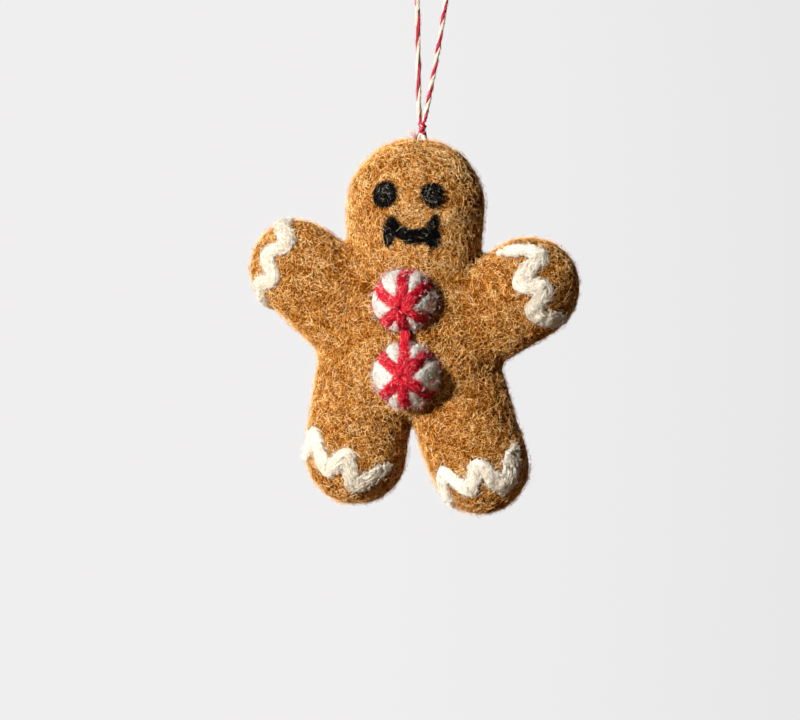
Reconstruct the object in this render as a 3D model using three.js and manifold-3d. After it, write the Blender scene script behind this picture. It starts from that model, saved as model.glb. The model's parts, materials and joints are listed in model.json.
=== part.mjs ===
// A needle-felted gingerbread figure that hangs from a loop of two-ply twine.
// Lengths are in millimetres and +Z is up. The figure faces -Y, and left and right
// are those of someone who looks it in the face.
// The origin is the underside of the loop's top, where a twig or a hook holds it.
import * as THREE from 'three';
import { mergeVertices } from 'three/addons/utils/BufferGeometryUtils.js';
import Module from 'manifold-3d';

// Pieces that touch in the real ornament are kept this far apart.
const SEAT_GAP = 0.3;
// Where folded strands meet, details smaller than this are left out.
const FINEST_DETAIL = 0.02;

// How far the crown of the head hangs below the top of the loop.
const HANG_DROP = 80;
// The twine enters the crown to the right of the head's middle, and a little in front of it.
const TWINE_RIGHT_OF_MIDDLE = 1.35;
const TWINE_BEFORE_MIDDLE = 0.5;
const CROWN = new THREE.Vector3(-TWINE_RIGHT_OF_MIDDLE, TWINE_BEFORE_MIDDLE, -HANG_DROP);

// The head is a round dome on a column that runs down into the torso.
const HEAD = { halfWidth: 19.1, halfDepth: 13, neckHalfDepth: 11.2 };

// The torso is a barrel with a square shoulder. Its middle is the waist.
const TORSO = {
  halfWidth: 25.9,
  halfDepth: 13.5,
  riseToShoulders: 27,
  dropToCrotch: 21.9,
  crownToWaist: 55.4,
  leftOfHead: 1.45,
  squareness: 2.8,
};

// A limb runs from a socket inside the torso, given in shares of the torso's half sizes,
// to the middle of its round end. Its direction is in degrees from +X towards +Z.
const LIMBS = {
  left_arm: {
    socketShare: [-0.437, 0.251],
    direction: 146.6,
    length: 24,
    endRadius: 13.1,
    endHalfDepth: 11.5,
    socketHalfWidth: 18.2,
    socketHalfDepth: 9.8,
  },
  right_arm: {
    socketShare: [0.357, 0.065],
    direction: 29.5,
    length: 26,
    endRadius: 14.6,
    endHalfDepth: 11.8,
    socketHalfWidth: 14.8,
    socketHalfDepth: 9.8,
  },
  left_leg: {
    socketShare: [-0.502, -0.416],
    direction: 264.9,
    length: 22,
    endRadius: 13.9,
    endHalfDepth: 12.4,
    socketHalfWidth: 13.2,
    socketHalfDepth: 9.6,
  },
  right_leg: {
    socketShare: [0.4, -0.532],
    direction: 291.7,
    length: 24,
    endRadius: 13.45,
    endHalfDepth: 12.4,
    socketHalfWidth: 15.8,
    socketHalfDepth: 9.6,
  },
};

// The eyes are flat pads of black wool. Places on the head are shares of its half width
// from the middle of the dome, to the right and up.
const EYE = { radius: 3.4, rise: 1.1 };
const EYE_PLACES_SHARE = { left_eye: [-0.37, 0.19], right_eye: [0.335, 0.17] };

// The mouth is a smile of black wool between two short strokes.
const MOUTH_RISE = 0.95;
const MOUTH = {
  mouth_left_stroke: {
    routeShare: [[-0.25, -0.11], [-0.265, -0.32], [-0.3, -0.57]],
    halfWidths: [1.25, 1.2, 0.75],
  },
  mouth_right_stroke: {
    routeShare: [[0.325, -0.12], [0.33, -0.38], [0.355, -0.6]],
    halfWidths: [0.8, 1.35, 1.35],
  },
  mouth_smile: {
    routeShare: [[-0.22, -0.27], [-0.14, -0.39], [0.035, -0.45], [0.21, -0.43], [0.3, -0.33]],
    halfWidths: [1.15, 1.45, 1.65, 1.6, 1.2],
  },
};

// The icing is a strand of cream wool laid in a zigzag round each hand and foot.
// Places are shares of the limb's end radius from the middle of the round end: first back
// towards the torso, then across. A share that is more than 1 from the middle goes round
// the edge to the back.
const ICING = { halfWidth: 1.45, rise: 1.3, tipHalfWidth: 0.9 };
const ICING_ROUTES_SHARE = {
  left_hand_icing: [
    [-0.8, 0.72], [-0.74, 0.64], [-0.27, 0.36], [-0.66, -0.05],
    [-0.14, -0.35], [-0.46, -0.69], [-0.3, -0.9], [-0.3, -1.02],
  ],
  right_hand_icing: [
    [0.06, -0.77], [-0.2, -0.68], [-0.56, -0.48], [-0.55, -0.32], [0.04, -0.08],
    [-0.06, 0.06], [-0.38, 0.18], [0.03, 0.33], [0.16, 0.5], [0.02, 0.7], [-0.38, 0.88],
  ],
  left_foot_icing: [
    [-0.1, 0.96], [0.15, 0.87], [0.4, 0.75], [-0.42, 0.49], [0.03, 0.11],
    [-0.71, -0.1], [-0.52, -0.42], [-0.2, -0.7],
  ],
  right_foot_icing: [
    [-0.42, 0.95], [-0.16, 0.83], [0.17, 0.67], [-0.5, 0.31], [0.09, -0.06],
    [-0.62, -0.36], [-0.3, -0.66], [0.03, -0.8],
  ],
};
const ICED_LIMBS = {
  left_hand_icing: 'left_arm',
  right_hand_icing: 'right_arm',
  left_foot_icing: 'left_leg',
  right_foot_icing: 'right_leg',
};

// The buttons are two felt balls, one above the other on the torso's front. The lower
// one's place is in shares of the torso's half width and of its drop below the waist.
const BUTTONS = {
  upper_button: { radius: 8.8, riseSlope: 33, fallSlope: -31 },
  lower_button: { radius: 9.1, riseSlope: 41, fallSlope: -39 },
};
const LOWER_BUTTON_SHARE = [0.022, -0.426];
const BUTTON_SPACE = 1.9;
// Strands of red wool cross on the front of each ball.
const STRIPE = { halfWidth: 1.55, sunk: 0.45 };

// The twine is two-ply baker's twine. The route of its loop starts at the knot, goes up
// the taut left leg, over the top and down the right leg.
const TWINE_RADIUS = 0.575;
const LOOP_ROUTE = [
  [-0.23, 0, -75.55], [-0.23, 0, -74.8], [-0.28, 0, -73.6], [-0.42, 0, -71.0], [-0.48, 0, -67.0],
  [-0.5, -0.1, -61.5], [-0.6, -0.2, -55.0], [-0.6, -0.3, -48.5], [-0.85, -0.3, -42.3], [-1.3, -0.3, -34.0],
  [-1.9, -0.3, -25.0], [-2.5, -0.2, -16.5], [-2.9, -0.1, -9.5], [-2.9, 0, -5.6], [-2.6, 0, -2.6],
  [-1.6, 0, -0.3], [0, 0, 0.575], [1.8, 0, -0.2], [3.2, 0, -2.3], [4.4, 0.1, -5.8],
  [5.6, 0.2, -11.5], [6.8, 0.4, -19.0], [7.5, 0.6, -26.5], [7.7, 0.8, -33.0], [7.2, 0.9, -40.0],
  [6.6, 0.9, -44.5], [5.5, 0.8, -51.5], [4.3, 0.6, -58.7], [3.3, 0.3, -64.0], [2.4, 0.1, -68.8],
  [1.8, 0, -72.0], [1.36, 0, -74.0], [1.23, 0, -74.9], [1.23, 0, -75.55],
];
const LOOP_STEPS = 78;

// Both legs are knotted just above the crown.
const KNOT = { right: 0.5, aboveCrown: 2.45, halfWidth: 1.15, halfHeight: 1.7, turns: 3, grooveDepth: 0.2 };

// Two short ends leave the knot and go through the crown side by side. They bend where
// they enter, on a line across the head that lies a little below the crown, and the wool
// is drawn in round each of them as a funnel that leaves room for the bend.
const ENTRY = { right: 0.1, spacing: 2.2, belowCrown: 0.5, funnelDegrees: 50, funnelHeight: 1.6 };
// Inside the wool the twine runs down, round and up again as one bight.
const STITCH = { halfSpread: 2.3, straight: 0.9, depth: 6.5 };
// A frayed end of the twine stands out of the crown beside the left strand.
const TAIL = { besideEntry: 1.2, before: 0.2, out: 1.3, rise: 2, rootRadius: 0.45, tipRadius: 0.2 };

// Faces round and along each kind of piece.
const FORM_MESH = { around: 28, capRings: 7, bodyRings: 4 };
const TORSO_RINGS = 18;
const TWINE_END_MESH = { around: 8, capRings: 3, bodyRings: 1 };
const TWINE_AROUND = 8;
const STITCH_STEPS = 14;
const KNOT_MESH = { around: 12, ringsPerTurn: 4 };
const FUNNEL_AROUND = 16;
const STRAND_MESH = { around: 6, stepsPerPoint: 3 };
// The last ring of a strand's round end: how far out it lies and how large it is, in
// shares of the strand's half width.
const STRAND_END = { outShare: 0.6, sizeShare: 0.8 };
const EYE_MESH = { around: 18, rings: 12 };
const BALL_MESH = { around: 22, rings: 14 };
const STRIPE_MESH = { around: 24, sides: 6 };

const PALETTE = {
  wool: { color: 0xb9772f, roughness: 0.95 },
  black_wool: { color: 0x1d1f22, roughness: 0.92 },
  white_wool: { color: 0xefe4da, roughness: 0.95 },
  red_wool: { color: 0xc01f3c, roughness: 0.92 },
  icing_wool: { color: 0xf3ecdf, roughness: 0.95 },
  twine: { color: 0xd98a92, roughness: 0.85 },
};

const wasm = await Module();
wasm.setup();

const degrees = THREE.MathUtils.degToRad;
const lerp = THREE.MathUtils.lerp;
const UP = new THREE.Vector3(0, 0, 1);
const UPRIGHT_SLOPE = 90;
// A limb's flare starts gently at its round end and is steepest at its root.
const FLARE_POWER = 1.5;

// Turns a closed three.js geometry into a solid that can be joined and cut.
function toSolid(geometry) {
  const bare = new THREE.BufferGeometry();
  bare.setAttribute('position', geometry.getAttribute('position'));
  if (geometry.index) bare.setIndex(geometry.index);
  const merged = mergeVertices(bare);
  return new wasm.Manifold(new wasm.Mesh({
    numProp: 3,
    vertProperties: new Float32Array(merged.getAttribute('position').array),
    triVerts: new Uint32Array(merged.index.array),
  }));
}

// Names a solid, gives it its material and places it by its own middle.
function makePiece(name, solid, paletteName) {
  const mesh = solid.getMesh();
  const geometry = new THREE.BufferGeometry();
  geometry.setAttribute('position', new THREE.BufferAttribute(new Float32Array(mesh.vertProperties), 3));
  geometry.setIndex(new THREE.BufferAttribute(new Uint32Array(mesh.triVerts), 1));
  geometry.computeBoundingBox();
  const middle = geometry.boundingBox.getCenter(new THREE.Vector3());
  geometry.translate(-middle.x, -middle.y, -middle.z);
  geometry.computeVertexNormals();
  const material = new THREE.MeshStandardMaterial({ ...PALETTE[paletteName], metalness: 0 });
  const piece = new THREE.Mesh(geometry, material);
  piece.name = name;
  piece.position.copy(middle);
  return piece;
}

// Skins a row of rings that closes in a point at each end. Every ring has the same number
// of points, and they turn the same way round the row's direction.
function skinRings(firstPoint, rings, lastPoint) {
  const around = rings[0].length;
  const points = [firstPoint, ...rings.flat(), lastPoint];
  const last = points.length - 1;
  const at = (ring, step) => 1 + ring * around + (step % around);
  const faces = [];
  for (let step = 0; step < around; step += 1) {
    faces.push(0, at(0, step + 1), at(0, step));
    faces.push(last, at(rings.length - 1, step), at(rings.length - 1, step + 1));
    for (let ring = 0; ring + 1 < rings.length; ring += 1) {
      faces.push(at(ring, step), at(ring, step + 1), at(ring + 1, step));
      faces.push(at(ring, step + 1), at(ring + 1, step + 1), at(ring + 1, step));
    }
  }
  const geometry = new THREE.BufferGeometry().setFromPoints(points);
  geometry.setIndex(faces);
  return geometry;
}

// A soft form is a row of ellipses along one line in the figure's plane. Each station has
// its distance along the line, its half width in the plane and its half depth.
function softForm(start, along, stations, around) {
  const across = new THREE.Vector3(-along.z, 0, along.x);
  const depth = new THREE.Vector3().crossVectors(along, across);
  const rings = stations.slice(1, -1).map(({ at, halfWidth, halfDepth }) => {
    const ring = [];
    for (let step = 0; step < around; step += 1) {
      const angle = (2 * Math.PI * step) / around;
      ring.push(start.clone()
        .addScaledVector(along, at)
        .addScaledVector(across, halfWidth * Math.cos(angle))
        .addScaledVector(depth, halfDepth * Math.sin(angle)));
    }
    return ring;
  });
  const tip = (station) => start.clone().addScaledVector(along, station.at);
  return toSolid(skinRings(tip(stations[0]), rings, tip(stations.at(-1))));
}

// The stations of a form that starts square at its root and ends round.
function roundEndedStations({ length, rootHalfWidth, rootHalfDepth, endRadius, endHalfDepth }, mesh, grow) {
  const stations = [{ at: -grow }];
  for (let step = 0; step <= mesh.bodyRings; step += 1) {
    const share = step / mesh.bodyRings;
    stations.push({
      at: share === 0 ? -grow : share * length,
      ...bodySection({ rootHalfWidth, rootHalfDepth, endRadius, endHalfDepth }, share, grow),
    });
  }
  for (let step = 1; step < mesh.capRings; step += 1) {
    const angle = (Math.PI / 2) * (step / mesh.capRings);
    stations.push({
      at: length + (endRadius + grow) * Math.sin(angle),
      halfWidth: (endRadius + grow) * Math.cos(angle),
      halfDepth: (endHalfDepth + grow) * Math.cos(angle),
    });
  }
  stations.push({ at: length + endRadius + grow });
  return stations;
}

// The half sizes of such a form at a share of its length. It flares towards the root.
function bodySection({ rootHalfWidth, rootHalfDepth, endRadius, endHalfDepth }, share, grow) {
  const flare = (1 - share) ** FLARE_POWER;
  return {
    halfWidth: lerp(endRadius, rootHalfWidth, flare) + grow,
    halfDepth: lerp(endHalfDepth, rootHalfDepth, flare) + grow,
  };
}

// Torso
const WAIST = CROWN.clone().add(new THREE.Vector3(-TORSO.leftOfHead, 0, -TORSO.crownToWaist));

// How much of its full section the torso keeps at a height above the waist.
function torsoShare(height, grow) {
  const reach = (height > 0 ? TORSO.riseToShoulders : TORSO.dropToCrotch) + grow;
  const share = Math.min(Math.abs(height) / reach, 1);
  return (1 - share ** TORSO.squareness) ** (1 / TORSO.squareness);
}

function torsoSolid(grow = 0) {
  const stations = [];
  for (let step = 0; step <= TORSO_RINGS; step += 1) {
    const swing = -Math.cos((Math.PI * step) / TORSO_RINGS);
    const height = swing * ((swing > 0 ? TORSO.riseToShoulders : TORSO.dropToCrotch) + grow);
    const share = torsoShare(height, grow);
    stations.push({
      at: height,
      halfWidth: (TORSO.halfWidth + grow) * share,
      halfDepth: (TORSO.halfDepth + grow) * share,
    });
  }
  return softForm(WAIST, UP, stations, FORM_MESH.around);
}

// Head
const HEAD_DOME = CROWN.clone().add(new THREE.Vector3(0, 0, -HEAD.halfWidth));
const HEAD_FORM = {
  length: TORSO.crownToWaist - HEAD.halfWidth,
  rootHalfWidth: HEAD.halfWidth,
  rootHalfDepth: HEAD.neckHalfDepth,
  endRadius: HEAD.halfWidth,
  endHalfDepth: HEAD.halfDepth,
};

function headSolid(grow = 0) {
  const root = HEAD_DOME.clone().add(new THREE.Vector3(0, 0, -HEAD_FORM.length));
  return softForm(root, UP, roundEndedStations(HEAD_FORM, FORM_MESH, grow), FORM_MESH.around);
}

// Limbs
function limbLine(limb) {
  const [across, up] = limb.socketShare;
  const reach = up > 0 ? TORSO.riseToShoulders : TORSO.dropToCrotch;
  const socket = WAIST.clone().add(new THREE.Vector3(across * TORSO.halfWidth, 0, up * reach));
  const angle = degrees(limb.direction);
  const along = new THREE.Vector3(Math.cos(angle), 0, Math.sin(angle));
  const end = socket.clone().addScaledVector(along, limb.length);
  return { socket, along, end };
}

function limbForm(limb) {
  return {
    length: limb.length,
    rootHalfWidth: limb.socketHalfWidth,
    rootHalfDepth: limb.socketHalfDepth,
    endRadius: limb.endRadius,
    endHalfDepth: limb.endHalfDepth,
  };
}

function limbSolid(limb, grow = 0) {
  const { socket, along } = limbLine(limb);
  return softForm(socket, along, roundEndedStations(limbForm(limb), FORM_MESH, grow), FORM_MESH.around);
}

// A place on the front of a round-ended form, in shares of its end radius from the middle
// of the round end, with the direction that points out of the wool there.
function placeOnForm(form, end, along, [backShare, acrossShare]) {
  const back = new THREE.Vector3().copy(along).negate();
  const across = new THREE.Vector3(-back.z, 0, back.x);
  const onRoundEnd = backShare < 0;
  const from = onRoundEnd ? Math.hypot(backShare, acrossShare) : Math.abs(acrossShare);
  const turned = from > 1;
  const fold = turned ? (2 - from) / from : 1;
  const u = onRoundEnd ? backShare * fold : backShare;
  const v = acrossShare * fold;
  const section = onRoundEnd
    ? { halfWidth: form.endRadius, halfDepth: form.endHalfDepth }
    : bodySection(form, 1 - (u * form.endRadius) / form.length, 0);
  const level = onRoundEnd ? u * u + v * v : v * v;
  const facing = turned ? 1 : -1;
  const y = facing * section.halfDepth * Math.sqrt(Math.max(0, 1 - level));
  const sideways = v * section.halfWidth;
  const point = end.clone()
    .addScaledVector(back, u * form.endRadius)
    .addScaledVector(across, sideways);
  point.y += y;
  const normal = new THREE.Vector3()
    .addScaledVector(back, onRoundEnd ? u / form.endRadius : 0)
    .addScaledVector(across, sideways / section.halfWidth ** 2);
  normal.y += y / section.halfDepth ** 2;
  return { point, normal: normal.normalize() };
}

// A strand of wool laid on a surface along a smooth route, with round ends: an oval that
// stands proud by its rise and reaches as far under the surface, where the piece that it
// lies on cuts it.
function strandSolid(place, routeShare, halfWidths, rise, grow = 0) {
  const route = new THREE.SplineCurve(routeShare.map(([x, y]) => new THREE.Vector2(x, y)));
  const steps = STRAND_MESH.stepsPerPoint * (routeShare.length - 1);
  const samples = [];
  for (let step = 0; step <= steps; step += 1) {
    const shares = route.getPointAt(step / steps);
    samples.push(place([shares.x, shares.y]));
  }
  const tangentAt = (step) => {
    const after = samples[Math.min(step + 1, steps)].point;
    return after.clone().sub(samples[Math.max(step - 1, 0)].point).normalize();
  };
  const widthAt = (share) => {
    const spot = share * (halfWidths.length - 1);
    const before = Math.min(Math.floor(spot), halfWidths.length - 2);
    return lerp(halfWidths[before], halfWidths[before + 1], spot - before) + grow;
  };
  const beyond = (step, outShare) => samples[step].point.clone()
    .addScaledVector(tangentAt(step), outShare * widthAt(step / steps));
  const ringAt = (step, outShare = 0, sizeShare = 1) => {
    const { normal } = samples[step];
    const middle = beyond(step, outShare);
    const side = new THREE.Vector3().crossVectors(tangentAt(step), normal).normalize();
    const ring = [];
    for (let turn = 0; turn < STRAND_MESH.around; turn += 1) {
      const angle = (2 * Math.PI * turn) / STRAND_MESH.around;
      ring.push(middle.clone()
        .addScaledVector(side, -sizeShare * widthAt(step / steps) * Math.cos(angle))
        .addScaledVector(normal, sizeShare * (rise + grow) * Math.sin(angle)));
    }
    return ring;
  };
  const { outShare, sizeShare } = STRAND_END;
  const rings = [
    ringAt(0, -outShare, sizeShare),
    ...samples.map((_, step) => ringAt(step)),
    ringAt(steps, outShare, sizeShare),
  ];
  return toSolid(skinRings(beyond(0, -1), rings, beyond(steps, 1)));
}

// A zigzag strand is folded at its corners, so each leg is a strand of its own.
function zigzagSolid(place, routeShare, halfWidths, rise) {
  const legs = routeShare.slice(1).map((to, index) => (
    strandSolid(place, [routeShare[index], to], halfWidths.slice(index, index + 2), rise)
  ));
  return wasm.Manifold.union(legs);
}

const placeOnHead = ([right, up]) => placeOnForm(HEAD_FORM, HEAD_DOME, UP, [-up, right]);

function eyeSolid(placeShare) {
  const { point, normal } = placeOnHead(placeShare);
  const pad = new THREE.SphereGeometry(1, EYE_MESH.around, EYE_MESH.rings);
  pad.scale(EYE.radius, EYE.radius, EYE.rise);
  pad.applyQuaternion(new THREE.Quaternion().setFromUnitVectors(UP, normal));
  pad.translate(point.x, point.y, point.z);
  return toSolid(pad);
}

// Buttons
function buttonCentres() {
  const [across, up] = LOWER_BUTTON_SHARE;
  const { upper_button: upper, lower_button: lower } = BUTTONS;
  const onTorso = (x, z) => {
    const share = torsoShare(z, 0);
    const side = Math.min(Math.abs(x) / (TORSO.halfWidth * share), 1);
    const y = -TORSO.halfDepth * share * Math.sqrt(1 - side * side);
    return WAIST.clone().add(new THREE.Vector3(x, y, z));
  };
  const lowerHeight = up * TORSO.dropToCrotch;
  const upperHeight = lowerHeight + lower.radius + BUTTON_SPACE + upper.radius;
  return {
    upper_button: onTorso(0, upperHeight),
    lower_button: onTorso(across * TORSO.halfWidth, lowerHeight),
  };
}

const BUTTON_CENTRES = buttonCentres();

function ballSolid(centre, radius, grow = 0) {
  const ball = new THREE.SphereGeometry(radius + grow, BALL_MESH.around, BALL_MESH.rings);
  ball.translate(centre.x, centre.y, centre.z);
  return toSolid(ball);
}

// One ring of red wool round a ball. Its plane holds the front of the ball and slopes by
// the given angle in the front view.
function stripeRing(centre, radius, slope, grow) {
  const section = [];
  for (let turn = 0; turn <= STRIPE_MESH.sides; turn += 1) {
    const angle = (2 * Math.PI * (turn % STRIPE_MESH.sides)) / STRIPE_MESH.sides;
    section.push(new THREE.Vector2(
      radius - STRIPE.sunk + (STRIPE.halfWidth + grow) * Math.cos(angle),
      (STRIPE.halfWidth + grow) * Math.sin(angle),
    ));
  }
  const ring = new THREE.LatheGeometry(section, STRIPE_MESH.around);
  ring.rotateX(Math.PI / 2);
  ring.rotateY(degrees(-slope));
  ring.translate(centre.x, centre.y, centre.z);
  return toSolid(ring);
}

// The three rings of one ball: an upright one and a crossed pair.
function stripesSolid(name, grow = 0) {
  const { radius, riseSlope, fallSlope } = BUTTONS[name];
  return [UPRIGHT_SLOPE, riseSlope, fallSlope]
    .map((slope) => stripeRing(BUTTON_CENTRES[name], radius, slope, grow))
    .reduce((joined, ring) => joined.add(ring));
}

// Twine
function twineTube(points, steps, radius) {
  const section = [];
  for (let turn = 0; turn < TWINE_AROUND; turn += 1) {
    const angle = (2 * Math.PI * turn) / TWINE_AROUND;
    section.push(new THREE.Vector2(radius * Math.cos(angle), radius * Math.sin(angle)));
  }
  const extrudePath = new THREE.CatmullRomCurve3(points);
  const settings = { steps, extrudePath, bevelEnabled: false };
  return toSolid(new THREE.ExtrudeGeometry(new THREE.Shape(section), settings));
}

const LEVEL_OF_CROWN = CROWN.z;
const KNOT_MIDDLE = new THREE.Vector3(KNOT.right, 0, LEVEL_OF_CROWN + KNOT.aboveCrown);

// The knot is a small barrel with a groove between one turn of the twine and the next.
function knotSolid() {
  const rings = KNOT.turns * KNOT_MESH.ringsPerTurn;
  const profile = [];
  for (let ring = 0; ring <= rings; ring += 1) {
    const height = (2 * ring) / rings - 1;
    const barrel = KNOT.halfWidth * Math.sqrt(1 - height ** 4);
    const groove = (KNOT.grooveDepth * (1 + Math.cos(Math.PI * KNOT.turns * (height + 1)))) / 2;
    profile.push(new THREE.Vector2(Math.max(0, barrel - groove), height * KNOT.halfHeight));
  }
  const barrel = new THREE.LatheGeometry(profile, KNOT_MESH.around);
  barrel.rotateX(Math.PI / 2);
  barrel.translate(KNOT_MIDDLE.x, KNOT_MIDDLE.y, KNOT_MIDDLE.z);
  return toSolid(barrel);
}

// Where the twine enters the crown on one side. side is -1 on the left and 1 on the right.
function entryPoint(side) {
  return new THREE.Vector3(ENTRY.right + (side * ENTRY.spacing) / 2, 0, LEVEL_OF_CROWN - ENTRY.belowCrown);
}

// A short strand from under the knot to its entry, round where it bends.
function twineEndSolid(side) {
  const start = KNOT_MIDDLE.clone();
  start.x += side * (TWINE_RADIUS + SEAT_GAP / 2);
  start.z -= KNOT.halfHeight + SEAT_GAP;
  const run = entryPoint(side).sub(start);
  const form = {
    length: run.length(),
    rootHalfWidth: TWINE_RADIUS,
    rootHalfDepth: TWINE_RADIUS,
    endRadius: TWINE_RADIUS,
    endHalfDepth: TWINE_RADIUS,
  };
  const stations = roundEndedStations(form, TWINE_END_MESH, 0);
  return softForm(start, run.normalize(), stations, TWINE_END_MESH.around);
}

// The room that one strand needs at the crown.
function funnelSolid(side) {
  const reach = TWINE_RADIUS + SEAT_GAP;
  const lean = degrees(ENTRY.funnelDegrees);
  const foot = new THREE.Vector2(reach * Math.cos(lean), -reach * Math.sin(lean));
  const rimRadius = foot.x + (ENTRY.funnelHeight - foot.y) * Math.tan(lean);
  const profile = [
    new THREE.Vector2(0, -reach),
    new THREE.Vector2(reach * Math.sin(lean / 2), -reach * Math.cos(lean / 2)),
    foot,
    new THREE.Vector2(rimRadius, ENTRY.funnelHeight),
    new THREE.Vector2(0, ENTRY.funnelHeight),
  ];
  const funnel = new THREE.LatheGeometry(profile, FUNNEL_AROUND);
  const { x, y, z } = entryPoint(side);
  funnel.rotateX(Math.PI / 2);
  funnel.translate(x, y, z);
  return toSolid(funnel);
}

// The bight inside the head. A wider and longer one cuts the tunnel that it lies in.
function stitchSolid(grow = 0) {
  const top = LEVEL_OF_CROWN - ENTRY.belowCrown - TWINE_RADIUS - SEAT_GAP + grow;
  const bottom = LEVEL_OF_CROWN - STITCH.depth;
  const shoulder = top - STITCH.straight;
  const middle = ENTRY.right;
  const points = [
    [middle - ENTRY.spacing / 2, 0, top],
    [middle - ENTRY.spacing / 2, 0, shoulder],
    [middle - STITCH.halfSpread, 0, (shoulder + bottom) / 2],
    [middle, 0, bottom],
    [middle + STITCH.halfSpread, 0, (shoulder + bottom) / 2],
    [middle + ENTRY.spacing / 2, 0, shoulder],
    [middle + ENTRY.spacing / 2, 0, top],
  ];
  return twineTube(points.map((point) => new THREE.Vector3(...point)), STITCH_STEPS, TWINE_RADIUS + grow);
}

function tailSolid() {
  const root = entryPoint(-1);
  root.add(new THREE.Vector3(-TAIL.besideEntry, -TAIL.before, ENTRY.belowCrown + SEAT_GAP));
  const run = new THREE.Vector3(-TAIL.out, 0, TAIL.rise);
  const form = {
    length: run.length(),
    rootHalfWidth: TAIL.rootRadius,
    rootHalfDepth: TAIL.rootRadius,
    endRadius: TAIL.tipRadius,
    endHalfDepth: TAIL.tipRadius,
  };
  const stations = roundEndedStations(form, TWINE_END_MESH, 0);
  return softForm(root, run.normalize(), stations, TWINE_END_MESH.around);
}

// The felt figure. Each form is cut by the larger ones that it grows out of.
function feltPieces() {
  const grownTorso = torsoSolid(SEAT_GAP);
  const grownHead = headSolid(SEAT_GAP);
  const grownLeftLeg = limbSolid(LIMBS.left_leg, SEAT_GAP);
  const head = headSolid()
    .subtract(grownTorso)
    .subtract(funnelSolid(-1))
    .subtract(funnelSolid(1))
    .subtract(stitchSolid(SEAT_GAP));
  return [
    makePiece('torso', torsoSolid(), 'wool'),
    makePiece('head', head, 'wool'),
    makePiece('left_arm', limbSolid(LIMBS.left_arm).subtract(grownTorso).subtract(grownHead), 'wool'),
    makePiece('right_arm', limbSolid(LIMBS.right_arm).subtract(grownTorso).subtract(grownHead), 'wool'),
    makePiece('left_leg', limbSolid(LIMBS.left_leg).subtract(grownTorso), 'wool'),
    makePiece('right_leg', limbSolid(LIMBS.right_leg).subtract(grownTorso).subtract(grownLeftLeg), 'wool'),
  ];
}

function facePieces() {
  const grownHead = headSolid(SEAT_GAP);
  const eyes = Object.entries(EYE_PLACES_SHARE)
    .map(([name, share]) => makePiece(name, eyeSolid(share).subtract(grownHead), 'black_wool'));
  const wisp = (name, grow) => {
    const { routeShare, halfWidths } = MOUTH[name];
    return strandSolid(placeOnHead, routeShare, halfWidths, MOUTH_RISE, grow);
  };
  const strokes = ['mouth_left_stroke', 'mouth_right_stroke'];
  const smile = strokes.reduce((left, name) => left.subtract(wisp(name, SEAT_GAP)), wisp('mouth_smile'));
  return [
    ...eyes,
    ...strokes.map((name) => makePiece(name, wisp(name).subtract(grownHead), 'black_wool')),
    makePiece('mouth_smile', smile.subtract(grownHead), 'black_wool'),
  ];
}

function icingPieces() {
  return Object.entries(ICING_ROUTES_SHARE).map(([name, route]) => {
    const limb = LIMBS[ICED_LIMBS[name]];
    const { along, end } = limbLine(limb);
    const form = limbForm(limb);
    const place = (shares) => placeOnForm(form, end, along, shares);
    const halfWidths = route.map((_, index) => (
      index === 0 || index === route.length - 1 ? ICING.tipHalfWidth : ICING.halfWidth
    ));
    const strand = zigzagSolid(place, route, halfWidths, ICING.rise);
    const seated = strand.subtract(limbSolid(limb, SEAT_GAP)).simplify(FINEST_DETAIL);
    return makePiece(name, seated, 'icing_wool');
  });
}

function buttonPieces() {
  const seats = [torsoSolid(SEAT_GAP), headSolid(SEAT_GAP)];
  const names = Object.keys(BUTTONS);
  const ball = (name, grow) => ballSolid(BUTTON_CENTRES[name], BUTTONS[name].radius, grow);
  const cutBy = (solid, tools) => tools.reduce((left, tool) => left.subtract(tool), solid);
  const balls = names.map((name) => makePiece(name, cutBy(ball(name), seats), 'white_wool'));
  const grownBalls = names.map((name) => ball(name, SEAT_GAP));
  const upperStripes = cutBy(stripesSolid('upper_button'), [...seats, ...grownBalls]);
  const tools = [...seats, ...grownBalls, stripesSolid('upper_button', SEAT_GAP)];
  const lowerStripes = cutBy(stripesSolid('lower_button'), tools);
  return [
    ...balls,
    makePiece('upper_button_stripes', upperStripes, 'red_wool'),
    makePiece('lower_button_stripes', lowerStripes, 'red_wool'),
  ];
}

function twinePieces() {
  const route = LOOP_ROUTE.map((point) => new THREE.Vector3(...point));
  return [
    makePiece('twine_loop', twineTube(route, LOOP_STEPS, TWINE_RADIUS), 'twine'),
    makePiece('twine_knot', knotSolid(), 'twine'),
    makePiece('twine_left_end', twineEndSolid(-1), 'twine'),
    makePiece('twine_right_end', twineEndSolid(1), 'twine'),
    makePiece('twine_stitch', stitchSolid(), 'twine'),
    makePiece('twine_tail', tailSolid(), 'twine'),
  ];
}

const figure = new THREE.Group();
figure.add(...feltPieces(), ...facePieces(), ...icingPieces(), ...buttonPieces());
const twine = new THREE.Group();
twine.add(...twinePieces());
const ornament = new THREE.Group();
ornament.add(figure, twine);

export default ornament;
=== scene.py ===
import json
import math

import bpy
import numpy as np
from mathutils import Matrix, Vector
from mathutils.bvhtree import BVHTree
from mathutils.kdtree import KDTree

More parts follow.
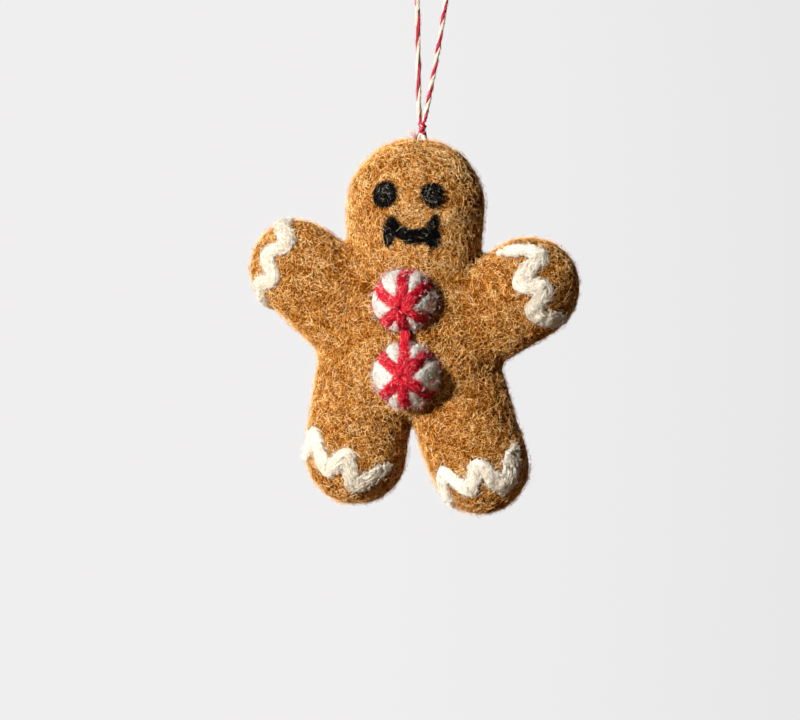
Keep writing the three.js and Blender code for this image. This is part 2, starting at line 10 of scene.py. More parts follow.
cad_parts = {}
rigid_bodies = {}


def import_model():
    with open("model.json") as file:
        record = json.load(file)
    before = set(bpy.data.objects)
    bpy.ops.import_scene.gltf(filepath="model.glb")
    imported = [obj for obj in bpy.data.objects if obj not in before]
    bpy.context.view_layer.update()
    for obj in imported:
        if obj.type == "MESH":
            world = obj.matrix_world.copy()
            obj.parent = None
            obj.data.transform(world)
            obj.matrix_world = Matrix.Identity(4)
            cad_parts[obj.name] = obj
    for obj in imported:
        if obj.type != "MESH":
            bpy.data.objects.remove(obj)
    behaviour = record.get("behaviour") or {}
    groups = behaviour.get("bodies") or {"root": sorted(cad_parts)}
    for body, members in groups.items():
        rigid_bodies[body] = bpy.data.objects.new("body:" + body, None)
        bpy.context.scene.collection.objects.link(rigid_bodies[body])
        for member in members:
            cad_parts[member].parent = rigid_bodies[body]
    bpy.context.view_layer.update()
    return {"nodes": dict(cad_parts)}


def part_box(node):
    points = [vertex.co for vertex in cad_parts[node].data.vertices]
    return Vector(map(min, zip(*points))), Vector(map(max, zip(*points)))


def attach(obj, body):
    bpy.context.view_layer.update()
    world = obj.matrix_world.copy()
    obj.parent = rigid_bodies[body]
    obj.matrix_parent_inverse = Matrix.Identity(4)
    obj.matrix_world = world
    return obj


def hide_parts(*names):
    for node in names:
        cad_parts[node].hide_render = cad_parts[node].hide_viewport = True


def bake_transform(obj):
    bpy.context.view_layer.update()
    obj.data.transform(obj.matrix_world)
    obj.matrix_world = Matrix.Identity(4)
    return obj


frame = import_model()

# The needle-felted gingerbread figure and its twine, dressed in wool and cotton over the
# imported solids. Lengths are in metres, and MM turns a length in millimetres into metres.
# The figure faces -Y, and left and right are those of someone who looks it in the face.
MM = 0.001
UP = np.array([0.0, 0.0, 1.0])
bpy.context.scene.view_settings.view_transform = "Standard"


def paint(red, green, blue):
    """A colour given in display values from 0 to 255, as the linear colour that a node takes."""
    shares = [value / 255 for value in (red, green, blue)]
    return (*[s / 12.92 if s <= 0.04045 else ((s + 0.055) / 1.055) ** 2.4 for s in shares], 1.0)


class Amount:
    """A socket of a node. Its operators add Math nodes."""

    def __init__(self, nodes, socket):
        self.nodes, self.socket = nodes, socket

    def maths(self, operation, first, second):
        return self.nodes.node("ShaderNodeMath", {"operation": operation}, {0: first, 1: second})

    def __add__(self, other):
        return self.maths("ADD", self, other)

    def __sub__(self, other):
        return self.maths("SUBTRACT", self, other)

    def __mul__(self, other):
        return self.maths("MULTIPLY", self, other)

    def __rsub__(self, other):
        return self.maths("SUBTRACT", other, self)

    __radd__ = __add__
    __rmul__ = __mul__

    def at_least(self, other):
        return self.maths("MAXIMUM", self, other)


class Nodes:
    """A tree of nodes round its main shader."""

    def __init__(self, tree, shader):
        self.tree, self.shader = tree, tree.nodes[shader]

    def feed(self, socket, value, node=None):
        """Gives a node's socket a value or a link. The node is the shader if none is named."""
        place = (node or self.shader).inputs[socket]
        if isinstance(value, Amount):
            self.tree.links.new(value.socket, place)
        else:
            place.default_value = value

    def node(self, kind, settings=None, sockets=None, output=0):
        """Adds a node with its settings first, then the values or links of its sockets."""
        made = self.tree.nodes.new(kind)
        for name, value in (settings or {}).items():
            if name == "stops":
                ramp = made.color_ramp.elements
                while len(ramp) < len(value):
                    ramp.new(0.5)
                for stop, (place, colour) in zip(ramp, value):
                    stop.position, stop.color = place, colour
            else:
                setattr(made, name, value)
        for socket, value in (sockets or {}).items():
            self.feed(socket, value, made)
        return Amount(self, made.outputs[output])

    def either(self, share, first, second):
        """Mixes two shaders."""
        return self.node("ShaderNodeMixShader", None, {0: share, 1: first, 2: second})

    def seen_by_camera(self):
        """1 where the camera itself looks, and 0 for the light in the room."""
        return self.node("ShaderNodeLightPath")


class Finish(Nodes):
    """A material made of nodes. Its keyword arguments are plain values of shader sockets."""

    def __init__(self, name, **plain):
        self.material = bpy.data.materials.new(name)
        self.material.use_nodes = True
        super().__init__(self.material.node_tree, "Principled BSDF")
        for words, value in plain.items():
            self.feed(words.replace("_", " ").title().replace("Ior", "IOR"), value)

    def mix(self, share, first, second):
        """Mixes two colours."""
        sockets = {0: share, 6: first, 7: second}
        return self.node("ShaderNodeMix", {"data_type": "RGBA"}, sockets, output=2)

    def ramp(self, share, stops):
        return self.node("ShaderNodeValToRGB", {"stops": stops}, {"Fac": share})

    def places(self):
        """The surface's own coordinates, in metres."""
        return self.node("ShaderNodeTexCoord", output=3)

    def noise(self, places, size, detail):
        """Noise with features about as wide as size, in metres."""
        sockets = {"Vector": places, "Scale": 1 / size, "Detail": detail}
        return self.node("ShaderNodeTexNoise", None, sockets)

    def strands(self, places, size, length_share, turns):
        """Noise drawn out into strands: size wide, and longer by length_share along an axis."""
        turned = self.node(
            "ShaderNodeMapping",
            {"vector_type": "TEXTURE"},
            {"Vector": places, "Rotation": turns, "Scale": (1.0, 1.0, length_share)},
        )
        return self.noise(turned, size, detail=1.0)

    def bump(self, height, depth):
        """Gives the surface relief: height runs from 0 to 1 and depth is what 1 stands for."""
        relief = self.node("ShaderNodeBump", None, {"Distance": depth, "Height": height})
        self.feed("Normal", relief)


# The turns of the layers of a felt's tangled strands, in radians round each axis, and how
# long the strands are for their width.
TANGLE_TURNS = [(0.3, 0.4, 0.0), (0.2, 1.5, 0.4), (0.9, 0.8, 1.2), (0.1, 2.3, 2.1), (1.4, 0.2, 2.9)]
TANGLE_LENGTH_SHARE = 6.0
# The noise of the top strands lies above this level, and is drawn out to run from 0 to 1.
TANGLE_FLOOR = 0.45
TANGLE_CONTRAST = 2.6
# How much of a felt's tone comes from its strands and from wide patches.
# The strands' share is partly painted shade: strands that lie lower are darker.
STRAND_TONE_SHARE = 0.75
PATCH_TONE_SHARE = 0.5
FELT_PATCH = 9 * MM


def tangled(finish, places, size):
    """Strands that lie in all directions, the top ones showing."""
    layers = [finish.strands(places, size, TANGLE_LENGTH_SHARE, turns) for turns in TANGLE_TURNS]
    top = layers[0]
    for layer in layers[1:]:
        top = top.at_least(layer)
    return top


# The wool finishes read this map: across is a fibre's tone, and up is the way along it.
FIBRE_MAP = "OFBake"

WOOL_TONES = [
    (0.0, paint(66, 20, 1)),
    (0.25, paint(150, 82, 14)),
    (0.5, paint(208, 140, 54)),
    (0.75, paint(244, 188, 100)),
    (1.0, paint(255, 236, 184)),
]
# The felt skin under the brown fibres is darker than the wool: painted shade in the gaps between
# the fibres.
PAINTED_SHADE_GROUND_TONES = [(0.0, paint(44, 14, 1)), (0.5, paint(112, 60, 14)), (1.0, paint(200, 134, 58))]
HAIR_TONES = [(0.0, paint(186, 116, 48)), (0.4, paint(232, 170, 94)), (1.0, paint(255, 228, 176))]
WHITE_TONES = [
    (0.0, paint(166, 158, 148)),
    (0.5, paint(203, 203, 199)),
    (1.0, paint(228, 230, 228)),
]
CREAM_TONES = [
    (0.0, paint(186, 174, 155)),
    (0.5, paint(220, 213, 200)),
    (1.0, paint(240, 236, 226)),
]
RED_TONES = [(0.0, paint(112, 0, 16)), (0.5, paint(204, 24, 48)), (1.0, paint(244, 118, 124))]
# The pale top of these tones is painted glints on the black wool.
BLACK_AND_GLINT_TONES = [
    (0.0, paint(1, 1, 1)),
    (0.55, paint(14, 14, 15)),
    (0.8, paint(84, 82, 78)),
    (1.0, paint(226, 222, 208)),
]
TWINE_RED_TONES = [(0.0, paint(108, 4, 28)), (0.5, paint(176, 38, 64)), (1.0, paint(220, 128, 138))]
TWINE_WHITE_TONES = [
    (0.0, paint(182, 166, 148)),
    (0.5, paint(212, 202, 188)),
    (1.0, paint(236, 230, 220)),
]
# A fibre's colour is darker at its ends: painted shade where it goes into the wool.
END_SHADE = 0.3


def felt_finish(name, tones, fibre_width, depth):
    """Felted wool seen close: tangled strands over a darker ground, painted shade beneath them."""
    finish = Finish(name, roughness=0.85, specular_ior_level=0.02)
    places = finish.places()
    tangle = tangled(finish, places, fibre_width)
    patches = finish.noise(places, FELT_PATCH, detail=3.0)
    height = (tangle - TANGLE_FLOOR) * TANGLE_CONTRAST
    # Lower strands are darker: painted shade between them, besides the random tangle.
    tone = height * STRAND_TONE_SHARE + (patches - 0.5) * PATCH_TONE_SHARE
    finish.feed("Base Color", finish.ramp(tone, tones))
    finish.bump(height, depth)
    return finish.material


def fibre_finish(name, tones, roughness=0.6):
    """Fibres whose tone, and painted shade towards their ends, come from their own map."""
    finish = Finish(name, roughness=roughness, specular_ior_level=0.03)
    spread = finish.node("ShaderNodeUVMap", {"uv_map": FIBRE_MAP})
    tone = finish.node("ShaderNodeSeparateXYZ", None, {0: spread}, output=0)
    along = finish.node("ShaderNodeSeparateXYZ", None, {0: spread}, output=1)
    # The painted shade: darkest at a fibre's ends and none in its middle.
    middle = along * (1.0 - along) * 4.0
    finish.feed("Base Color", finish.ramp(tone * (middle * END_SHADE + (1 - END_SHADE)), tones))
    return finish.material


def unit(vectors):
    return vectors / np.maximum(np.linalg.norm(vectors, axis=-1, keepdims=True), 1e-12)


def read_points(mesh, field):
    """The place (co) or the way out (normal) of each point of a mesh."""
    values = np.zeros(len(mesh.vertices) * 3, np.float32)
    mesh.vertices.foreach_get(field, values)
    return values.reshape(-1, 3)


def mesh_piece(name, points, faces, finish, spread=None):
    """An object from points and faces. spread gives each point its place on the fibre map."""
    mesh = bpy.data.meshes.new(name)
    corners = faces.shape[1]
    mesh.vertices.add(len(points))
    mesh.vertices.foreach_set("co", points.astype(np.float32).ravel())
    mesh.loops.add(faces.size)
    mesh.loops.foreach_set("vertex_index", faces.astype(np.int32).ravel())
    mesh.polygons.add(len(faces))
    mesh.polygons.foreach_set("loop_start", np.arange(0, faces.size, corners, dtype=np.int32))
    mesh.polygons.foreach_set("use_smooth", np.ones(len(faces), bool))
    mesh.update(calc_edges=True)
    if spread is not None:
        layer = mesh.uv_layers.new(name=FIBRE_MAP)
        layer.uv.foreach_set("vector", spread[faces.ravel()].astype(np.float32).ravel())
    piece = bpy.data.objects.new(name, mesh)
    bpy.context.scene.collection.objects.link(piece)
    mesh.materials.append(finish)
    return piece


def selected(*pieces):
    """Selects just these pieces, with the first one active."""
    bpy.ops.object.select_all(action="DESELECT")
    for piece in pieces:
        piece.select_set(True)
    bpy.context.view_layer.objects.active = pieces[0]


def joined(name, pieces):
    """Several pieces as one."""
    selected(*pieces)
    bpy.ops.object.join()
    pieces[0].name = name
    return pieces[0]


def worn(piece, body, slot, *nodes):
    """Puts a piece on its body and in the place of these CAD nodes. The colour slot is not used."""
    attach(piece, body)
    if nodes:
        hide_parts(*nodes)
    return piece


def tube_piece(name, rings, first, last, finish):
    """A closed tube through rings of points that turn right-handed about its direction."""
    count, sides = rings.shape[:2]
    points = np.concatenate([rings.reshape(-1, 3), [first], [last]])
    side = np.arange(sides)
    after = (side + 1) % sides
    rows = sides * np.arange(count - 1)[:, None]
    low, low_after = rows + side, rows + after
    quads = np.stack([low, low_after, low_after + sides, low + sides], -1).reshape(-1, 4)
    tip, end = len(points) - 2, len(points) - 1
    top = sides * (count - 1)
    faces = np.concatenate([
        quads[:, :3],
        quads[:, [0, 2, 3]],
        np.stack([0 * side + tip, after, side], 1),
        np.stack([0 * side + end, top + side, top + after], 1),
    ])
    return mesh_piece(name, points, faces, finish)


def lengths_along(line):
    return np.concatenate([[0], np.cumsum(np.linalg.norm(np.diff(line, axis=0), axis=1))])


def evenly(line, step):
    """The line again in even steps of about that length."""
    along = lengths_along(line)
    at = np.linspace(0, along[-1], max(3, int(round(along[-1] / step)) + 1))
    return np.stack([np.interp(at, along, line[:, axis]) for axis in range(line.shape[1])], 1)


STEPS_BETWEEN_POINTS = 12


def smooth_route(points, step):
    """A smooth line through the points, in even steps."""
    points = np.asarray(points, float)
    points = np.concatenate([[2 * points[0] - points[1]], points, [2 * points[-1] - points[-2]]])
    share = np.linspace(0, 1, STEPS_BETWEEN_POINTS, endpoint=False)[:, None]
    line = []
    for a, b, c, d in zip(points[:-3], points[1:-2], points[2:-1], points[3:]):
        square, cube = 2 * a - 5 * b + 4 * c - d, 3 * b - a - 3 * c + d
        line.append(b + ((c - a) * share + square * share**2 + cube * share**3) / 2)
    line.append(points[-2:-1])
    return evenly(np.concatenate(line), step)


def read_along(values, along, at):
    """Rows of values kept at the lengths along a line, read at other lengths."""
    return np.stack([np.interp(at, along, values[:, axis]) for axis in range(values.shape[1])], -1)


FIBRE_SIDES = 3
# A fibre is full for most of its length: its swell is cut off at 1.
FIBRE_SWELL = 1.35
FIBRE_SEED = 7
# How deep a fibre's ends go into what it lies on.
TUCKED = 0.06 * MM
TONE_STEP = 1 / 256


def fibres(name, lines, half_widths, tones, finish):
    """One mesh of closed three-sided fibres, pointed at both ends. lines is fibres x points x 3."""
    count, length = lines.shape[:2]
    rings = length - 2
    rng = np.random.default_rng(FIBRE_SEED)
    along = unit(np.gradient(lines, axis=1))[:, 1:-1]
    aside = unit(np.cross(rng.normal(size=(count, 1, 3)), along))
    above = np.cross(along, aside)
    way = np.linspace(0, 1, length)
    swell = np.minimum(1.0, FIBRE_SWELL * np.sqrt(4 * way * (1 - way)))[1:-1]
    turns = np.arange(FIBRE_SIDES) * 2 * np.pi / FIBRE_SIDES
    round_it = (
        np.cos(turns)[:, None] * aside[:, :, None] + np.sin(turns)[:, None] * above[:, :, None]
    )
    radii = (half_widths[:, None] * swell)[:, :, None, None]
    ringed = (lines[:, 1:-1, None] + radii * round_it).reshape(count, -1, 3)
    points = np.concatenate([lines[:, :1], ringed, lines[:, -1:]], axis=1)
    side = np.arange(FIBRE_SIDES)
    after = (side + 1) % FIBRE_SIDES
    tip = 1 + rings * FIBRE_SIDES
    last = tip - FIBRE_SIDES
    faces = [
        np.stack([0 * side, 1 + after, 1 + side], 1),
        np.stack([0 * side + tip, last + side, last + after], 1),
    ]
    for ring in range(rings - 1):
        low, high = 1 + ring * FIBRE_SIDES, 1 + (ring + 1) * FIBRE_SIDES
        faces.append(np.stack([low + side, low + after, high + after], 1))
        faces.append(np.stack([low + side, high + after, high + side], 1))
    one = np.concatenate(faces)
    per = points.shape[1]
    every = (one[None] + per * np.arange(count)[:, None, None]).reshape(-1, 3)
    across = np.concatenate([[1 / 2], np.tile(side / FIBRE_SIDES, rings), [1 / 2]]) * TONE_STEP
    up = np.concatenate([[0], np.repeat(way[1:-1], FIBRE_SIDES), [1]])
    held = np.floor(np.clip(tones, 0, 0.995) / TONE_STEP) * TONE_STEP
    spread = np.stack([held[:, None] + across + 0 * up, np.broadcast_to(up, (count, per))], 2)
    return mesh_piece(name, points.reshape(-1, 3), every, finish, spread.reshape(-1, 2))


def spread_of_tones(rng, middle, spread, count):
    return np.clip(rng.normal(middle, spread, count), 0, 1)


class Surface:
    """A finished mesh that wool is laid on."""

    def __init__(self, piece):
        mesh = piece.data
        mesh.calc_loop_triangles()
        self.points = read_points(mesh, "co").astype(float)
        self.outwards = read_points(mesh, "normal").astype(float)
        self.corners = np.zeros(len(mesh.loop_triangles) * 3, np.int32)
        mesh.loop_triangles.foreach_get("vertices", self.corners)
        self.corners = self.corners.reshape(-1, 3)
        self.tree = BVHTree.FromPolygons(self.points.tolist(), self.corners.tolist())
        a, b, c = (self.points[self.corners[:, i]] for i in range(3))
        self.areas = np.linalg.norm(np.cross(b - a, c - a), axis=1) / 2

    def scatter(self, count, rng):
        """That many places spread evenly over the surface, with the way out at each."""
        picked = rng.choice(len(self.areas), count, p=self.areas / self.areas.sum())
        u, v = rng.random((2, count, 1))
        u, v = np.where(u + v > 1, 1 - u, u), np.where(u + v > 1, 1 - v, v)
        shares = np.stack([1 - u - v, u, v], 1)
        corners = self.corners[picked]
        out = unit((self.outwards[corners] * shares).sum(1))
        return (self.points[corners] * shares).sum(1), out

    def nearest(self, points):
        """The nearest places on the surface, with the way out at each."""
        shape = points.shape
        found = [self.tree.find_nearest(p) for p in points.reshape(-1, 3).tolist()]
        places = np.array([f[0] for f in found])
        out = unit(self.outwards[self.corners[[f[2] for f in found]]].sum(1))
        return places.reshape(shape), out.reshape(shape)


def across_surface(out, rng):
    """For each way out, two random ways across it, at right angles."""
    first = unit(np.cross(out, rng.normal(size=out.shape)))
    return first, np.cross(out, first)


# The points of a lying fibre are this share of its lift off the surface, and a free end is
# that many times its lift.
LYING_SHARES = (0.45, 1.0)
FREE_END_TIMES = (1.0, 2.5)
# A hair curls further over, and stands lower, by these shares of how much it leans.
LEAN_CURLS = 0.6
LEAN_LOWERS = 0.35
# About a whole turn, for waves that start anywhere.
ANY_TURN = 6.3


def lying(surface, spots, out, rng, lengths, lifts, bow, points=5, free=0.2):
    """Lines of fibres that lie bowed on a surface. free is the share with a free end."""
    count = len(spots)
    ahead, aside = across_surface(out, rng)
    size = rng.uniform(*lengths, (count, 1, 1))
    way = np.linspace(-0.5, 0.5, points)[:, None]
    bent = rng.normal(0, bow, (count, 1, 1)) * (0.25 - way**2)
    wavy = rng.normal(0, bow / 3, (count, 1, 1)) * np.sin(2 * np.pi * way)
    flat = spots[:, None] + size * (way * ahead[:, None] + (bent + wavy) * aside[:, None])
    places, outs = surface.nearest(flat)
    heights = lifts[:, None, None] * rng.uniform(*LYING_SHARES, (count, points, 1))
    heights[:, 0] = heights[:, -1] = -TUCKED
    loose = rng.random(count) < free
    heights[loose, -1] = (lifts[loose] * rng.uniform(*FREE_END_TIMES, loose.sum()))[:, None]
    return places + heights * outs


def standing(spots, out, rng, lengths, lean, curl, points=5):
    """Lines of hairs that stand off a surface and curl over."""
    count = len(spots)
    ahead, aside = across_surface(out, rng)
    size = rng.uniform(*lengths, (count, 1, 1))
    way = np.linspace(0, 1, points)[:, None]
    leaned = rng.uniform(*lean, (count, 1, 1))
    bent = rng.normal(0, curl, (count, 1, 1))
    rise = np.sin(way * np.pi * 0.5 * (1 + LEAN_CURLS * leaned)) * (1 - LEAN_LOWERS * leaned)
    grown_out = rise * out[:, None] + way * leaned * ahead[:, None] + bent * way**2 * aside[:, None]
    return spots[:, None] + size * grown_out - TUCKED * out[:, None]


# The round places that loose wool is kept out of, as points and their reach.
COVERED = []


def keep_clear(points, reach):
    """Keeps loose wool out of the space within reach of the points."""
    tree = KDTree(len(points))
    for index, point in enumerate(points):
        tree.insert(point, index)
    tree.balance()
    COVERED.append((tree, points.min(0) - reach, points.max(0) + reach, reach))


def is_clear(lines):
    """Which fibres stay out of all the space that is kept clear."""
    clear = np.ones(len(lines), bool)
    for tree, low, high, reach in COVERED:
        close = ((lines > low) & (lines < high)).all(-1) & clear[:, None]
        for fibre, point in zip(*np.nonzero(close)):
            if tree.find(lines[fibre, point])[2] < reach:
                clear[fibre] = False
    return clear


DRIFT_WAVES = 6
WIDE_DRIFT = (9 * MM, 22 * MM)


def drift(points, seed, wavelengths=WIDE_DRIFT):
    """Slow changes over a surface, from about -1 to 1."""
    rng = np.random.default_rng(seed)
    total = np.zeros(len(points))
    for _ in range(DRIFT_WAVES):
        way = unit(rng.normal(size=3)) * 2 * np.pi / rng.uniform(*wavelengths)
        total += np.sin(points @ way + rng.uniform(0, 2 * np.pi))
    return 2 * total / DRIFT_WAVES


# The camera looks at the figure from a little to its right, level with it, through a long
# lens. The picture's middle is below and to the left of the hanging point.
VIEW_TURN = math.radians(8)
CAMERA_FAR = 0.9
PICTURE_WIDTH = 218.8 * MM
PICTURE_MIDDLE = (-5.6 * MM, -140.8 * MM)
SENSOR_WIDTH = 36.0


def make_camera():
    across, height = PICTURE_MIDDLE
    aim = Vector((across * math.cos(VIEW_TURN), across * math.sin(VIEW_TURN), height))
    back = Vector((math.sin(VIEW_TURN), -math.cos(VIEW_TURN), 0))
    lens = bpy.data.cameras.new("camera")
    lens.sensor_width = SENSOR_WIDTH
    lens.lens = SENSOR_WIDTH * CAMERA_FAR / PICTURE_WIDTH
    camera = bpy.data.objects.new("camera", lens)
    camera.location = aim + back * CAMERA_FAR
    camera.rotation_euler = (math.pi / 2, 0, VIEW_TURN)
    bpy.context.scene.collection.objects.link(camera)
    bpy.context.scene.camera = camera


make_camera()


# The twine. The points of its loop, in millimetres, are those of the CAD route: from the
# knot up the left leg, over the top and down the right leg.
LOOP_ROUTE = [
    (-0.23, 0, -75.55), (-0.23, 0, -74.8), (-0.28, 0, -73.6), (-0.42, 0, -71.0), (-0.48, 0, -67.0),
    (-0.5, -0.1, -61.5), (-0.6, -0.2, -55.0), (-0.6, -0.3, -48.5), (-0.85, -0.3, -42.3),
    (-1.3, -0.3, -34.0), (-1.9, -0.3, -25.0), (-2.5, -0.2, -16.5), (-2.9, -0.1, -9.5),
    (-2.9, 0, -5.6), (-2.6, 0, -2.6), (-1.6, 0, -0.3), (0, 0, 0.575), (1.8, 0, -0.2),
    (3.2, 0, -2.3), (4.4, 0.1, -5.8), (5.6, 0.2, -11.5), (6.8, 0.4, -19.0), (7.5, 0.6, -26.5),
    (7.7, 0.8, -33.0), (7.2, 0.9, -40.0), (6.6, 0.9, -44.5), (5.5, 0.8, -51.5),
    (4.3, 0.6, -58.7), (3.3, 0.3, -64.0), (2.4, 0.1, -68.8), (1.8, 0, -72.0), (1.36, 0, -74.0),
    (1.23, 0, -74.9), (1.23, 0, -75.55),
]
# How many turns the plies have made by each length along the loop, in millimetres from its
# start and then from its end. At a whole number the red ply is in front. The right leg is
# wound more tightly than the left one.
TURNS_FROM_START = [(0, 0.15), (11.6, 1), (25.3, 2), (55, 4.6)]
TURNS_BEFORE_END = [(45, 10.3), (30, 12), (21.7, 13), (14.2, 14), (7.6, 15), (0, 16)]
TWINE_STEP = 0.3 * MM
PLY_OFF_MIDDLE = 0.26 * MM
PLY_HALF_DEPTH = 0.32 * MM
PLY_HALF_WIDTH = 0.42 * MM
PLY_SIDES = 12
YARNS_PER_PLY = 4
YARN_RIDGE = 0.07
YARN_PITCH = 0.6 * MM
# The fuzz lies on the plies, and this share of it strays with one end.
FUZZ_PER_MM = 14.0
FUZZ_POINTS = 5
FUZZ_LENGTHS = (1.2 * MM, 3.4 * MM)
FUZZ_HALF_WIDTHS = (0.02 * MM, 0.04 * MM)
FUZZ_LIFTS = (0, 0.06 * MM)
FUZZ_WANDER = 0.5
STRAY_FUZZ_SHARE = 0.3
STRAY_LIFTS = (0.1 * MM, 0.75 * MM)
# The tones of a kind of fibre run from 0 to 1: the middle one, and how far they spread.
FUZZ_TONES = (0.6, 0.2)
# A fibre takes at most this share of what it lies along.
LONGEST_SHARE = 0.8
FORWARD = np.array([0.0, -1.0, 0.0])

COTTON_RELIEF = {"fibre_width": 0.12 * MM, "depth": 0.05 * MM}
red_cotton = felt_finish("twine_red_ply", TWINE_RED_TONES, **COTTON_RELIEF)
white_cotton = felt_finish("twine_white_ply", TWINE_WHITE_TONES, **COTTON_RELIEF)
red_fuzz = fibre_finish("twine_red_fibre", TWINE_RED_TONES)
white_fuzz = fibre_finish("twine_white_fibre", TWINE_WHITE_TONES)
# Each ply's head start in turns, its cotton and its fuzz.
PLIES = [(0.0, red_cotton, red_fuzz), (0.5, white_cotton, white_fuzz)]


def twine_fuzz(rng, along, middle, out, side, deep, wide):
    """Fibres that lie on a ply. deep and wide are its half sizes along out and side."""
    count = max(12, int(along[-1] / MM * FUZZ_PER_MM))
    reach = np.minimum(rng.uniform(*FUZZ_LENGTHS, (count, 1)), LONGEST_SHARE * along[-1])
    start = rng.random((count, 1)) * (along[-1] - reach)
    way = np.linspace(0, 1, FUZZ_POINTS)[None]
    at = start + reach * way
    place = rng.uniform(0, 2 * np.pi, (count, 1)) + rng.normal(0, FUZZ_WANDER, (count, 1)) * way
    lift = rng.uniform(*FUZZ_LIFTS, (count, FUZZ_POINTS))
    lift[:, 0] = lift[:, -1] = -TUCKED / 2
    stray = rng.random(count) < STRAY_FUZZ_SHARE
    lift[stray] += rng.uniform(*STRAY_LIFTS, (stray.sum(), 1)) * way**2
    return (
        read_along(middle, along, at)
        + (np.cos(place) * (deep + lift))[..., None] * read_along(out, along, at)
        + (np.sin(place) * (wide + lift))[..., None] * read_along(side, along, at)
    )


def twine_piece(name, line, turns, seed, front=FORWARD, size=1.0):
    """Two-ply twine along a line. turns is how far the plies have turned at each point."""
    rng = np.random.default_rng(seed)
    along = lengths_along(line)
    ahead = unit(np.gradient(line, axis=0))
    facing = unit(front - (front * ahead).sum(-1, keepdims=True) * ahead)
    aside = np.cross(ahead, facing)
    around = np.arange(PLY_SIDES) * 2 * np.pi / PLY_SIDES
    pieces = []
    for head_start, cotton, fuzz in PLIES:
        angle = 2 * np.pi * (turns + head_start)[:, None]
        out = np.cos(angle) * facing + np.sin(angle) * aside
        side = np.cross(ahead, out)
        middle = line + size * PLY_OFF_MIDDLE * out
        deep, wide = size * PLY_HALF_DEPTH, size * PLY_HALF_WIDTH
        ridges = 1 + YARN_RIDGE * np.sin(YARNS_PER_PLY * around - along[:, None] / YARN_PITCH)
        outer = deep * np.cos(around)[:, None] * out[:, None]
        lateral = wide * np.sin(around)[:, None] * side[:, None]
        rings = middle[:, None] + ridges[..., None] * (outer + lateral)
        first, last = middle[0] - deep * ahead[0], middle[-1] + deep * ahead[-1]
        pieces.append(tube_piece(name, rings, first, last, cotton))
        lines = twine_fuzz(rng, along, middle, out, side, deep, wide)
        tones = spread_of_tones(rng, *FUZZ_TONES, len(lines))
        widths = rng.uniform(*FUZZ_HALF_WIDTHS, len(lines))
        pieces.append(fibres(name + "_fuzz", lines, widths, tones, fuzz))
    return joined(name, pieces)


# The turns are evened out over this many steps, an odd number.
TURNS_SOFTENED_OVER = 13


def dress_loop():
    line = smooth_route(np.array(LOOP_ROUTE) * MM, TWINE_STEP)
    along = lengths_along(line)
    known = [(at * MM, turn) for at, turn in TURNS_FROM_START]
    known += [(along[-1] - at * MM, turn) for at, turn in TURNS_BEFORE_END]
    turns = np.interp(along, *zip(*known))
    soft = np.ones(TURNS_SOFTENED_OVER) / TURNS_SOFTENED_OVER
    padded = np.pad(turns, TURNS_SOFTENED_OVER // 2, mode="reflect", reflect_type="odd")
    turns = np.convolve(padded, soft, mode="valid")
    cord = twine_piece("twine_loop_cord", line, turns, seed=1)
    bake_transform(cord)
    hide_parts("twine_loop")


# The knot is a coil of the same twine round the feet of both legs.
KNOT_TOP = np.array([0.5, 0, -76.15]) * MM
KNOT_DROP = 2.75 * MM
KNOT_TURNS = 2.3
KNOT_SLANT = 0.6 * MM
KNOT_RADIUS = 0.62 * MM
KNOT_PULLED_TIGHT = 0.86
# The coil's slant starts this far round, and its plies rock to and fro by these turns.
KNOT_SLANT_START = 0.8
KNOT_ROCKED = 0.12
KNOT_POINTS = 90
# The coil starts and ends at this share of its radius, and widens at this pace.
KNOT_END_SHARE = 0.35
KNOT_END_PACE = 12
KNOTTED_LEG_SIZE = 0.6
LEG_OFF_MIDDLE = 0.36 * MM
LEG_ABOVE_KNOT = 0.6 * MM
LEG_BELOW_KNOT = 0.3 * MM
LEG_POINTS = 16
LEG_TURNS = 0.3


def dress_knot():
    share = np.linspace(0, 1, KNOT_POINTS)
    turn = 2 * np.pi * KNOT_TURNS * share
    from_end = np.minimum(share, 1 - share)
    reach = KNOT_RADIUS * np.clip(from_end * KNOT_END_PACE + KNOT_END_SHARE, 0, 1)
    radial = np.stack([np.cos(turn), -np.sin(turn), 0 * turn], 1)
    slanted = KNOT_SLANT * np.sin(0.5 * turn + KNOT_SLANT_START) * np.cos(turn)
    fallen = KNOT_DROP * share + slanted
    coil = KNOT_TOP + reach[:, None] * radial - fallen[:, None] * UP
    rocked = KNOT_ROCKED * np.sin(turn / 2)
    pieces = [twine_piece("twine_knot_coil", coil, rocked, 2, radial, KNOT_PULLED_TIGHT)]
    for side in (-1, 1):
        foot = KNOT_TOP + side * LEG_OFF_MIDDLE * np.array([1, 0, 0])
        down = np.linspace(-LEG_ABOVE_KNOT, KNOT_DROP + LEG_BELOW_KNOT, LEG_POINTS)
        leg = foot - down[:, None] * UP
        turns = np.linspace(0, LEG_TURNS, LEG_POINTS)
        pieces.append(twine_piece("knotted_leg", leg, turns, 3 + side, size=KNOTTED_LEG_SIZE))
    worn(joined("twine_knot_coil", pieces), "knot", "twine", "twine_knot")


# Below the knot two ends go into the crown side by side, and a bight joins them inside.
# Each end's points are in millimetres, with the turns of its plies at its top. The plies
# of an end and of the bight turn by as much as is named.
END_SIZE = 0.92
END_TURNS = 0.25
BIGHT_TURNS = 1.4
TWINE_ENDS = {
    "left": ([(-0.05, 0, -78.75), (-0.3, 0, -79.4), (-0.85, 0, -80.3), (-1.05, 0, -81.5)], 0.45),
    "right": ([(1.05, 0, -78.75), (1.15, 0, -79.4), (1.2, 0, -80.3), (1.2, 0, -81.5)], 0.7),
}
BIGHT_ROUTE = [
    (-1.0, 0, -81.7), (-1.15, 0, -83.2), (-2.2, 0, -84.2), (-1.4, 0, -85.8), (0.1, 0, -86.2),
    (1.6, 0, -85.8), (2.4, 0, -84.2), (1.3, 0, -83.2), (1.2, 0, -81.7),
]


